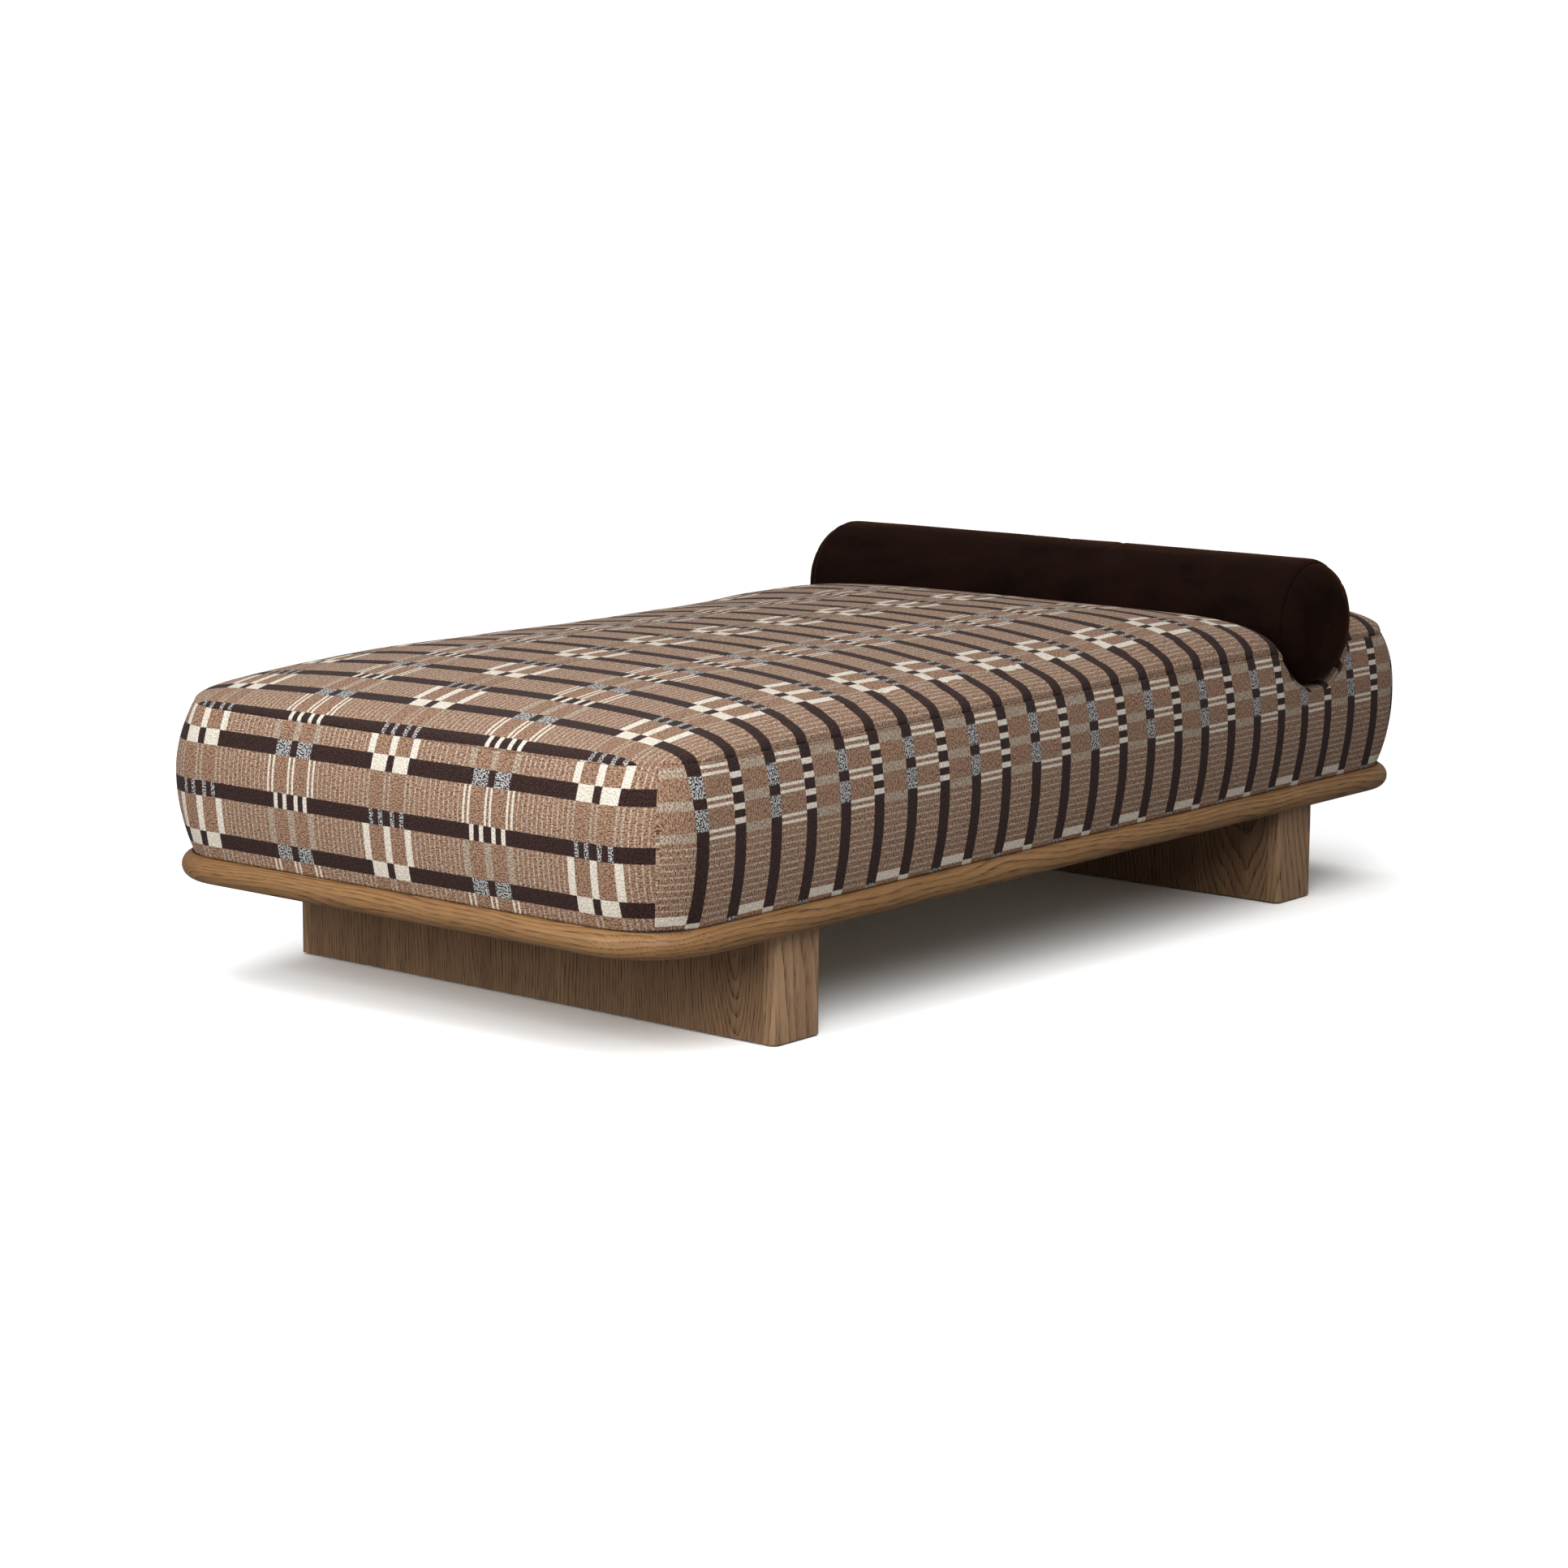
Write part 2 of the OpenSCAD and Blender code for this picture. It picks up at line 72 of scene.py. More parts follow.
CORNER_R = 0.115                 # plan radius of the corners
BELLY_Z = SOLE_Z + 0.125         # height of the widest line
SEAM_NOMINAL = 0.447             # height that the walls' curve is drawn to
SEAM_CORNER = 0.4465             # shoulder seam at the corners
SEAM_SIDE_RISE = 0.0005          # how much higher it runs along the long sides
SEAM_END_DROP = 0.0045           # how much lower it runs across the ends
SOLE_PULL = 0.018                # the walls draw in by this at the underside
SIDE_PULL = 0.017                # and by this at the long sides' shoulder seam
END_PULL = 0.026                 # and by this at the ends'
SHOULDER_X = BELLY_X - END_PULL
SHOULDER_Y = BELLY_Y - SIDE_PULL
HEAD_FULLER = 0.014              # the head end's shoulder stands this much further out
HEAD_REACH = 0.12                # the length over which that grows
HEAD_CROWN = 0.508 - SEAM_CORNER # rise of the head section over the seam
CROWN = CROWN_Z - SEAM_CORNER    # rise of the main top over the seam
FOOT_BEND = 4.5                  # how late the crown turns down towards the foot
FOOT_FULLNESS = 0.55             # a lower number gives a fuller shoulder
SIDE_FULLNESS = 0.43
BOXY_MIDDLE = 2                  # how late the crown turns down towards the long sides
BOXY_HEAD = (4, 0.1, 0.49)       # what is added to that, the x where it starts and its length
BOXY_FOOT = (0.6, 0.45, 0.2)     # the same towards the foot
CHANNEL_R = BOLSTER_R + 0.0015   # the channel's radius leaves a little air
LINING_BACK = 0.0008             # the lining stays back from the channel by this
LIP_R = 0.016                    # rounding of the channel's two lips
MOUTH_REACH = 0.014              # the channel opens out over this depth at the long sides
MOUTH_FLARE = 0.010
LIP_FALL = 0.040                 # the crown has fallen by this at LIP_FALL_X
LIP_FALL_X = 0.655
CORNER_CALM = 0.3                # waves die out over this share of a corner, so its two panels meet
GROOVE = 0.0007                  # depth of the seams' valleys
GROOVE_W = 0.003                 # and their width
PANEL_T = 0.004                  # fabric with its wadding

# ---------- the plaid ----------

REPEAT_V = 0.1606                # across the dark stripes
REPEAT_U = 0.409                 # along them
HALF_V = REPEAT_V / 2
HALF_U = REPEAT_U / 2
FIRST_STRIPE_X = -0.950          # first whole stripe on the top, from the foot end
FOOT_SEAM_V = 0.0735             # where the foot seam cuts the pattern
FOOT_CORNER_V = HALF_V - 0.0128  # the foot corners' seams cut it just short of a stripe
SIDE_SEAM_U = 0.5557             # where the long sides' seams cut it
SIDE_PAIR_Z = 0.3905             # height of the middle bar on the long sides
SIDE_STRETCH = 1.03              # the long sides' cloth is stretched downwards by this
SKEW = 0.009                     # the cloth lies askew by this on the near side
SKEW_START = (0.3, 0.5)          # y where it starts and the width over which it grows
SKEW_END = (0.45, 0.4)           # x where it turns back and the length over which it does
SKEW_TURN = 1.6                  # how far it turns, as a share of the skew
NEAR_PULL = 0.018                # the top's cloth is pulled this far to the near side
NEAR_PULL_START = (0.1, 0.4)     # y where that starts and the width over which it grows
FOOT_STRIPE_Z = 0.3225           # height of a dark stripe on the foot panel

# Bars and thin lines cross the fields and the stripes. Their places are distances from the
# middle of a group, and their widths are half widths.
STRIPE_HALF = 0.012
WIDE_BARS = (0.0, 0.0435)
WIDE_BAR_HALF = 0.00675
FINE_BARS = (0.0047, 0.0388, 0.0482)
FINE_BAR_HALF = 0.00215
BLOCKS = (0.02245,)
BLOCK_HALF = 0.01515
STRIPE_BARS = (0.0122, 0.0316)
STRIPE_BAR_HALF = 0.0041
THIN_FROM = 0.0545
THIN_AT = 0.0586
THIN_STEP = 0.0097
THIN_HALF = 0.0013
YARN_JAG = 0.0012                # the yarns' edges wander by this
YARN_PITCH = 0.0021              # two yarns' width


# ---------- helpers for shapes ----------

def smooth(t):
    """0 to 1 with soft ends."""
    t = np.clip(t, 0, 1)
    return t * t * (3 - 2 * t)


def soft_noise(a, b, size, seed):
    """Smooth noise from -1 to 1 at points (a, b), with bumps about size apart."""
    cells = 64
    lattice = np.random.RandomState(seed).uniform(-1, 1, (cells, cells))
    x, y = np.asarray(a) / size + cells / 2, np.asarray(b) / size + cells / 2
    x0, y0 = np.floor(x).astype(int), np.floor(y).astype(int)
    fx, fy = smooth(x - x0), smooth(y - y0)
    x0, y0, x1, y1 = x0 % cells, y0 % cells, (x0 + 1) % cells, (y0 + 1) % cells
    low = lattice[x0, y0] * (1 - fx) + lattice[x1, y0] * fx
    high = lattice[x0, y1] * (1 - fx) + lattice[x1, y1] * fx
    return low * (1 - fy) + high * fy


def waves(a, b, kinds, seed):
    """A sum of smooth noises; each kind is a height and the size of its bumps."""
    return sum(height * soft_noise(a, b, size, seed + k) for k, (height, size) in enumerate(kinds))


def arc_length(points):
    """Distance along a line of points, from its first."""
    steps = np.linalg.norm(np.diff(points, axis=0), axis=1)
    return np.concatenate([[0], np.cumsum(steps)])


def grid_normals(p):
    """Unit normals of a grid of points, as cross products of its two directions."""
    n = np.cross(np.gradient(p, axis=0), np.gradient(p, axis=1))
    return n / np.maximum(np.linalg.norm(n, axis=2, keepdims=True), 1e-12)


def grid_piece(name, points, cloth, outward, close_rows=False):
    """A mesh from a grid of points, with the fabric's own coordinates in the attribute cloth."""
    rows, cols = points.shape[:2]
    index = np.arange(rows * cols).reshape(rows, cols)
    if close_rows:
        index = np.vstack([index, index[:1]])
    quads = np.stack([index[:-1, :-1], index[1:, :-1], index[1:, 1:], index[:-1, 1:]], -1).reshape(-1, 4)
    a, b, c = (points.reshape(-1, 3)[quads[:, k]] for k in (0, 1, 3))
    middle = points.reshape(-1, 3)[quads].mean(1)
    facing = np.einsum("ij,ij->i", np.cross(b - a, c - a), outward(middle))
    if np.sum(facing) < 0:
        quads = quads[:, ::-1]
    mesh = bpy.data.meshes.new(name)
    mesh.from_pydata(points.reshape(-1, 3).tolist(), [], quads.tolist())
    attribute = mesh.attributes.new("cloth", "FLOAT_VECTOR", "POINT")
    flat = np.zeros((rows * cols, 3), np.float32)
    flat[:, :2] = cloth.reshape(-1, 2)
    attribute.data.foreach_set("vector", flat.ravel())
    mesh.polygons.foreach_set("use_smooth", np.ones(len(mesh.polygons), bool))
    mesh.update()
    piece = bpy.data.objects.new(name, mesh)
    bpy.context.scene.collection.objects.link(piece)
    return piece


def thicken(piece, thickness):
    """Gives an open skin its thickness, inwards, and closes its edges."""
    solid = piece.modifiers.new("thickness", "SOLIDIFY")
    solid.thickness = thickness
    solid.offset = -1
    solid.use_even_offset = False


# ---------- the seat: lines shared by the top and the walls ----------

def corner_lines(count):
    """Shares from 0 at a corner zone's inner edge to 1 at the boundary, closer together there."""
    return np.sin(np.linspace(0, math.pi / 2, count + 1))


def across_lines(straight=84, corner=16):
    """Y of the grid's lines across the seat, at shoulder height."""
    inner = SHOULDER_Y - CORNER_R
    middle = np.linspace(-inner, inner, straight + 1)
    edge = inner + CORNER_R * corner_lines(corner)[1:]
    return np.concatenate([-edge[::-1], middle, edge])


def seam_height(tx, ty):
    """Height of the shoulder seam's own surface, where tx and ty are shares of the half sides."""
    side = SEAM_SIDE_RISE * (1 - np.abs(tx) ** 5) * ty ** 4
    end = SEAM_END_DROP * (1 - ty ** 4) * np.abs(tx) ** 4
    return SEAM_CORNER + side - end


def main_height(x, ty):
    """Height of the main top at x, on the line that is ty of the way to a long side."""
    to_foot = np.clip(-x / SHOULDER_X, 0, 1)
    foot_half = (1 - to_foot ** FOOT_BEND) ** FOOT_FULLNESS
    head_half = 1 - LIP_FALL / CROWN * (np.maximum(x, 0) / LIP_FALL_X) ** 4
    along = np.where(x < 0, foot_half, head_half)
    head_gain, head_from, head_length = BOXY_HEAD
    foot_gain, foot_from, foot_length = BOXY_FOOT
    boxy = BOXY_MIDDLE + head_gain * smooth((x - head_from) / head_length)
    boxy = boxy + foot_gain * smooth((-foot_from - x) / foot_length)
    across = np.maximum(1 - np.abs(ty) ** boxy, 0) ** SIDE_FULLNESS
    return seam_height(x / SHOULDER_X, ty) + CROWN * along * across


def head_height(x, ty):
    """Height of the head section at x."""
    start = BOLSTER_X + CHANNEL_R
    t = np.clip((x - start) / (SHOULDER_X - start), 0, 1)
    across = np.maximum(1 - np.abs(ty) ** 4, 0) ** SIDE_FULLNESS
    return seam_height(x / SHOULDER_X, ty) + HEAD_CROWN * (1 - t ** 3) ** 0.5 * across


def mouth_radius(ty):
    """Radius of the channel, which opens out at the long sides."""
    depth = np.clip(1 - (1 - abs(ty)) * SHOULDER_Y / MOUTH_REACH, 0, 1)
    return CHANNEL_R + MOUTH_FLARE * (1 - math.sqrt(1 - depth ** 2))


def lip(height_at, ty, side):
    """The rounding from the top into the channel: its start x and height, its middle and its last angle."""
    radius = mouth_radius(ty)
    x = BOLSTER_X + side * (radius + LIP_R)
    for _ in range(6):
        z = float(height_at(np.array(x), ty))
        drop = BOLSTER_Z - (z - LIP_R)
        reach = math.sqrt((radius + LIP_R) ** 2 - drop ** 2) if drop > 0 else radius + LIP_R
        x = BOLSTER_X + side * reach
    last = math.asin(drop / (radius + LIP_R)) if drop > 0 else 0.0
    return x, z, (x, z - LIP_R), last


MAIN, LINING, HEAD = 0, 1, 2     # the parts of a line along the seat
LIP_STEPS = 8
WALL_STEPS = 3
BOWL_STEPS = 30
MAIN_STEPS = 176
HEAD_STEPS = 10
HEAD_CORNER = 16
LIP_EASE = 0.25                  # the lines near a lip shift over this length


def lip_arc(middle, last, side):
    """Points of a lip's rounding, from the top down into the channel."""
    angles = np.linspace(0, math.pi / 2 + last, LIP_STEPS + 1)
    return np.stack([middle[0] - side * LIP_R * np.sin(angles), middle[1] + LIP_R * np.cos(angles)], 1)


def along_profile(ty):
    """The line along the seat that is ty of the way to a long side: (x, z) of its three parts."""
    front_x, front_z, front_c, front_last = lip(main_height, ty, -1)
    back_x, back_z, back_c, back_last = lip(head_height, ty, 1)
    inner = SHOULDER_X - CORNER_R
    corner = SHOULDER_X - CORNER_R * (1 - corner_lines(HEAD_CORNER))
    nominal = BOLSTER_X - CHANNEL_R - LIP_R
    x = np.concatenate([-corner[::-1][:-1], np.linspace(-inner, nominal, MAIN_STEPS + 1)])
    x = x + (front_x - nominal) * np.clip((x - nominal + LIP_EASE) / LIP_EASE, 0, 1)
    main = np.stack([x, main_height(x, ty)], 1)
    front = lip_arc(front_c, front_last, -1)
    back = lip_arc(back_c, back_last, 1)[::-1]
    radius = mouth_radius(ty)
    start = math.atan2(min(front[-1, 1], BOLSTER_Z) - BOLSTER_Z, front[-1, 0] - BOLSTER_X)
    start = start - 2 * math.pi if start > 0 else start
    end = math.atan2(min(back[0, 1], BOLSTER_Z) - BOLSTER_Z, back[0, 0] - BOLSTER_X)
    angles = np.linspace(start, end, BOWL_STEPS + 1)
    bowl = np.stack([BOLSTER_X + radius * np.cos(angles), BOLSTER_Z + radius * np.sin(angles)], 1)
    down = np.linspace(front[-1], bowl[0], WALL_STEPS + 1)[1:-1]
    up = np.linspace(bowl[-1], back[0], WALL_STEPS + 1)[1:-1]
    x = np.concatenate([np.linspace(back_x, inner, HEAD_STEPS + 1), corner[1:]])
    head = np.stack([x, head_height(x, ty)], 1)
    lining = np.concatenate([front[-1:], down, bowl, up, back[:1]])
    return (np.concatenate([main, front[1:]]), lining, np.concatenate([back, head[1:]]))


def wall_inset(z, pull):
    """How far a wall stands inside the belly at height z."""
    low = SOLE_PULL * ((BELLY_Z - z) / (BELLY_Z - SOLE_Z)) ** 2
    high = pull * ((z - BELLY_Z) / (SEAM_NOMINAL - BELLY_Z)) ** 2
    return np.where(z < BELLY_Z, low, high)


def square_to_round(u, v):
    """A point of the unit square, moved into the quarter disc that rounds off its far corner."""
    return u * np.sqrt(1 - v ** 2 / 2), v * np.sqrt(1 - u ** 2 / 2)


def round_corners(x, y):
    """Plan places of grid points once the rectangle's corners are rounded off."""
    in_x, in_y = SHOULDER_X - CORNER_R, SHOULDER_Y - CORNER_R
    u = np.clip((np.abs(x) - in_x) / CORNER_R, 0, 1)
    v = np.clip((np.abs(y) - in_y) / CORNER_R, 0, 1)
    both = (u > 0) & (v > 0)
    ru, rv = square_to_round(u, v)
    x = np.where(both, np.sign(x) * (in_x + CORNER_R * ru), x)
    y = np.where(both, np.sign(y) * (in_y + CORNER_R * rv), y)
    return x, y


ACROSS = across_lines()
SHARES = ACROSS / SHOULDER_Y
PROFILES = [along_profile(t) for t in SHARES]
CENTRE = PROFILES[len(PROFILES) // 2]


def stripe_v():
    """The pattern's v at each point of the middle line, for the main top, the lining and the head."""
    line = CENTRE[MAIN]
    run = arc_length(line)
    past_first = run - np.interp(FIRST_STRIPE_X, line[:, 0], run)
    before = past_first * (REPEAT_V - FOOT_SEAM_V) / -past_first[0]
    v = REPEAT_V + np.where(past_first < 0, before, past_first)
    lining = v[-1] + arc_length(CENTRE[LINING])
    head = lining[-1] + arc_length(CENTRE[HEAD])
    return v, lining, head


def across_u():
    """The pattern's u along a line across the middle of the seat, scaled to meet the sides' pattern."""
    fine = np.sin(np.linspace(0, math.pi / 2, 400))
    line = np.stack([fine * SHOULDER_Y, main_height(np.zeros_like(fine), fine)], 1)
    run = arc_length(line)
    return line[:, 0], run * SIDE_SEAM_U / run[-1]


def corner_angle(share):
    """Angle round a corner at a boundary line whose share of the corner zone is given."""
    return np.arcsin(np.clip(share, 0, 1) / math.sqrt(2))


WALL_ROWS = 34
EDGE_STEP = 0.0003               # the least distance between two of a wall's columns
EASE_LENGTH = 0.13               # the columns near a long side's corners shift over this length
WALL_WAVES = ((0.0011, 0.17), (0.0005, 0.06))
TOP_WAVES = ((0.0016, 0.21), (0.0006, 0.07))
WALL_PUCKER = (0.0007, 0.016, 0.03)      # height, size and reach from a seam
TOP_PUCKER = (0.0009, 0.02, 0.05)


def wall_rows(z_top):
    """Heights of a wall's rows under each of its top points, closer together near both edges."""
    t = np.linspace(0, math.pi, WALL_ROWS + 1)
    share = (0.65 * (1 - np.cos(t)) / 2 + 0.35 * t / math.pi)[:, None]
    return SOLE_Z + (z_top[None, :] - SOLE_Z) * share


def wall_points(along, z_top, long_side):
    """A wall's grid as (along, outward, z) and its length laid flat.

    along holds each column's place at shoulder height.
    """
    half = SHOULDER_X if long_side else SHOULDER_Y
    pull, other_pull = (SIDE_PULL, END_PULL) if long_side else (END_PULL, SIDE_PULL)
    belly, other_belly = (BELLY_Y, BELLY_X) if long_side else (BELLY_X, BELLY_Y)
    inner = half - CORNER_R
    z = wall_rows(z_top)
    depth = GROOVE * np.exp(-((z_top[None, :] - z) / GROOVE_W) ** 1.3)
    share = np.clip((np.abs(along) - inner) / CORNER_R, 0, 1)
    angle = corner_angle(share)
    to_corner = CORNER_R * (math.pi / 4 - angle) + np.maximum(inner - np.abs(along), 0)
    depth = np.maximum(depth, GROOVE * np.exp(-(to_corner / GROOVE_W) ** 1.3)[None, :])
    mine = belly - wall_inset(z, pull) - CORNER_R
    others = other_belly - wall_inset(z, other_pull) - CORNER_R
    ease = EASE_LENGTH if long_side else inner
    shift = (others - inner) * np.clip((np.abs(along) - inner + ease) / ease, 0, 1)[None, :]
    radius = CORNER_R - depth
    base = np.minimum(np.abs(along), inner)[None, :]
    out = mine + radius * np.cos(angle)[None, :]
    side = np.sign(along)[None, :]
    run = side * (base + shift + radius * np.sin(angle)[None, :])
    unrolled = side * (base + shift + CORNER_R * angle[None, :])
    return run, out, z, unrolled


def ripples(run, z, z_top, seed):
    """Small puckers under a seam and slow waves on a wall, inwards and outwards."""
    from_seam = z_top[None, :] - z
    fade = np.sin(np.pi * np.clip((z - SOLE_Z) / (z_top[None, :] - SOLE_Z), 0, 1)) ** 0.5
    slow = waves(run, z, WALL_WAVES, seed)
    height, size, reach = WALL_PUCKER
    pucker = height * soft_noise(run, z * 0.15, size, seed + 2) * np.exp(-from_seam / reach)
    return (slow + pucker) * fade


def skew(x, y):
    """How far the cloth's stripes stand towards the head end of their place."""
    share = np.clip((SKEW_START[0] - y) / SKEW_START[1], 0, 1)
    return SKEW * share * (1 - SKEW_TURN * smooth((x - SKEW_END[0]) / SKEW_END[1]))


def fuller_head(points):
    """The points of a panel with the head end's shoulder set further out than the foot end's."""
    x, _, z = np.moveaxis(points, -1, 0)
    low = smooth((z - BELLY_Z) / (SEAM_CORNER - HEAD_FULLER - BELLY_Z))
    points = points.copy()
    points[..., 0] += HEAD_FULLER * low * smooth((x - SHOULDER_X) / HEAD_REACH + 1)
    return points


def rising(values, step):
    """The values, pushed up where needed so that each is at least a step above the one before."""
    ramp = step * np.arange(len(values))
    return np.maximum.accumulate(values - ramp) + ramp


def build_wall(name, side):
    """One side panel from the underside to the shoulder seam, between two upright corner seams."""
    long_side = side in ("near", "far")
    if long_side:
        main, lining, head = PROFILES[0]
        edge = np.concatenate([main, lining[1:], head[1:]])
        along, z_top = rising(edge[:, 0], EDGE_STEP), edge[:, 1]
    else:
        part, end = (MAIN, 0) if side == "foot" else (HEAD, -1)
        along = ACROSS
        z_top = np.array([p[part][end, 1] for p in PROFILES])
    run, out, z, unrolled = wall_points(along, z_top, long_side)
    half = SHOULDER_X if long_side else SHOULDER_Y
    share = np.clip((np.abs(along) - half + CORNER_R) / CORNER_R, 0, 1)
    seed = {"near": 10, "far": 20, "foot": 30, "head": 40}[side]
    swell = ripples(unrolled, z, z_top, seed) * smooth((1 - share) / CORNER_CALM)[None, :]
    turn = corner_angle(share)[None, :]
    out = out + swell * np.cos(turn)
    run = run + swell * np.sin(turn) * np.sign(along)[None, :]
    sign = -1 if side in ("near", "foot") else 1
    points = np.stack([run, sign * out, z] if long_side else [sign * out, run, z], -1)
    if long_side:
        u = HALF_U + (SIDE_PAIR_Z - z) / SIDE_STRETCH
        v = np.minimum(FIRST_STRIPE_X - unrolled + skew(unrolled, sign * BELLY_Y), FOOT_CORNER_V)
    else:
        u = unrolled
        v = z - FOOT_STRIPE_Z - HALF_V
    piece = grid_piece(name, fuller_head(points), np.stack([u, v], -1), lambda m: m * [1, 1, 0])
    return piece, points[-1]


def build_top(part, name, side_edges, end_edge):
    """The main top, the lining or the head top, from the lines along the seat."""
    lines = np.stack([p[part] for p in PROFILES])            # across, along, (x, z)
    x, z = lines[..., 0], lines[..., 1]
    y = np.repeat(ACROSS[:, None], x.shape[1], 1)
    grid_x = x
    x, y = round_corners(x, y)
    points = np.stack([x, y, z], -1)
    start, count = side_edges["start"], x.shape[1]
    share = np.abs(SHARES)[:, None, None]
    for row, key in ((0, "near"), (-1, "far")):
        gap = side_edges[key][start:start + count] - points[row]
        own_side = np.sign(SHARES)[:, None, None] == (-1 if key == "near" else 1)
        weight = smooth((share - 0.93) / 0.07) * own_side
        points = points + gap[None] * weight
    if end_edge is not None:
        column = 0 if part == MAIN else -1
        gap = end_edge - points[:, column]
        weight = smooth((np.abs(grid_x) / SHOULDER_X - 0.965) / 0.035)[..., None]
        points = points + gap[:, None] * weight
    normal = grid_normals(points)
    normal *= np.sign(normal[..., 2:].sum() + 1e-9)
    fade = smooth((1 - share[..., 0]) / 0.03)
    if end_edge is not None:
        fade = fade * smooth((1 - np.abs(grid_x) / SHOULDER_X) / 0.02)
    if part == LINING:
        from_lip = np.minimum(np.arange(count), np.arange(count)[::-1])
        fade = fade * smooth(from_lip / 6.0)[None, :]
    height, size, reach = TOP_PUCKER
    edge = np.exp(-(1 - share[..., 0]) * SHOULDER_Y / reach)
    edge = edge + np.exp(-(SHOULDER_X - np.abs(grid_x)) / reach)
    near_lip = smooth((BOLSTER_X - CHANNEL_R - np.abs(grid_x)) / 0.03) if part == MAIN else 1.0
    relief = waves(x, y, TOP_WAVES, 50) + height * soft_noise(x, y, size, 52) * edge
    if part == LINING:
        relief = relief - np.max(relief) - LINING_BACK       # the lining stays clear of the bolster
    points = points + normal * (relief * fade * near_lip)[..., None]
    y_at, u_at = across_u()
    u = np.sign(y) * np.interp(np.abs(y), y_at, u_at)
    u = u + NEAR_PULL * smooth((NEAR_PULL_START[0] - y) / NEAR_PULL_START[1])
    v_line = stripe_v()[part]
    v = np.repeat(v_line[None, :], x.shape[0], 0)
    if part == LINING:
        centre_line = np.array([BOLSTER_X, 0, BOLSTER_Z])
        outward = lambda middle: (centre_line - middle) * [1, 0, 1]
    else:
        order = np.argsort(CENTRE[part][:, 0])
        at_x, at_v = CENTRE[part][order, 0], v_line[order]
        v = v + np.interp(x, at_x, at_v) - np.interp(grid_x, at_x, at_v) - skew(x, y)
        outward = lambda middle: middle * 0 + [0, 0, 1]
    return grid_piece(name, fuller_head(points), np.stack([u, v], -1), outward)


def build_seat():
    """Every panel of the seat's cover, in place."""
    walls, edges = {}, {}
    for side in ("near", "far", "foot", "head"):
        walls[side], edges[side] = build_wall("seat_panel_" + side, side)
    starts = [0, len(CENTRE[MAIN]) - 1, len(CENTRE[MAIN]) + len(CENTRE[LINING]) - 2]
    names = ("seat_top_main", "channel_lining", "seat_top_head")
    ends = (edges["foot"], None, edges["head"])
    tops = {}
    for part in (MAIN, LINING, HEAD):
        side_edges = {"near": edges["near"], "far": edges["far"], "start": starts[part]}
        tops[names[part]] = build_top(part, names[part], side_edges, ends[part])
    return walls, tops


# ---------- the bolster ----------

ROUND_STEPS = 128
END_R = 0.052                    # rounding of the ends
END_FULLNESS = 2.1               # how late it turns inwards
END_DROOP = 0.0025               # the ends hang by this
DROOP_FROM = 0.48                # from this distance to the middle
TUBE_WAVE = 0.0008               # unevenness of the tube
CAP_WAVE = 0.0006                # and of the caps
ROUND_PUCKER = (0.0008, 0.014, 0.018)    # height, size and reach from a cap seam
CAP_DISH = 0.004                 # the caps' faces bulge by this
RING_GROOVE = 0.0022             # depth of the cap seams
RING_ZONE = 0.030                # closer rings this far from a cap seam


def bolster_radius(y):
    """Radius of the bolster at a distance y from its middle."""
    t = np.clip((np.abs(y) - BOLSTER_HALF + END_R) / END_R, 0, 1)
    return BOLSTER_R - END_R + END_R * (1 - t ** END_FULLNESS) ** 0.5


def bolster_rings(part):
    """Places along the axis and radii of the rings of the tube or of one cap."""
    if part == "tube":
        edge = CAP_SEAM_Y - RING_ZONE
        middle = np.linspace(-edge, edge, 160)[1:-1]
        low, high = np.linspace(-CAP_SEAM_Y, -edge, 14), np.linspace(edge, CAP_SEAM_Y, 14)
        y = np.concatenate([low, middle, high])
        r = bolster_radius(y)
    else:
        y = CAP_SEAM_Y + (BOLSTER_HALF - CAP_SEAM_Y) * np.sin(np.linspace(0, math.pi / 2, 26))
        r = bolster_radius(y)
        flat = np.linspace(r[-1], 0.001, 16)[1:]
        y = np.concatenate([y, np.full(len(flat), BOLSTER_HALF)])
        r = np.concatenate([r, flat])
        y = y - CAP_DISH * (r / BOLSTER_R) ** 2
    from_seam = np.abs(np.abs(y) - CAP_SEAM_Y)
    groove = RING_GROOVE * np.exp(-(from_seam / 0.004) ** 1.4)
    return y, r - np.where(r > BOLSTER_R / 2, groove, 0)


def build_round(name, y, r, seed, wave):
    """A surface of revolution about the bolster's axis, slightly uneven."""
    angle = np.linspace(0, 2 * math.pi, ROUND_STEPS, endpoint=False)[:, None]
    noise_a, noise_b = np.cos(angle) * 0.6 + 0 * y, y + np.sin(angle) * 0.6
    uneven = wave * (soft_noise(noise_a, noise_b, 0.12, seed) - 1)      # never outwards
    height, size, reach = ROUND_PUCKER
    seam = np.exp(-np.abs(np.abs(y) - CAP_SEAM_Y) / reach)
    round_it, along = angle * BOLSTER_R + 0 * y, y + 0 * angle
    pucker = height * soft_noise(round_it, along * 0.1, size, seed + 3) * seam
    radius = np.maximum(r + (uneven + pucker) * np.clip(r / BOLSTER_R, 0, 1), 0.0005)
    droop = END_DROOP * smooth((np.abs(y) - DROOP_FROM) / (BOLSTER_HALF - DROOP_FROM))
    x = BOLSTER_X + radius * np.cos(angle)
    z = BOLSTER_Z + radius * np.sin(angle) - droop
    points = np.stack([x, along, z], -1)
    cloth = np.stack([round_it, along], -1)
    axis = np.array([BOLSTER_X, 0, BOLSTER_Z])
    outward = lambda middle: (middle - axis) * [1, 0.5, 1]
    return grid_piece(name, points, cloth, outward, close_rows=True)


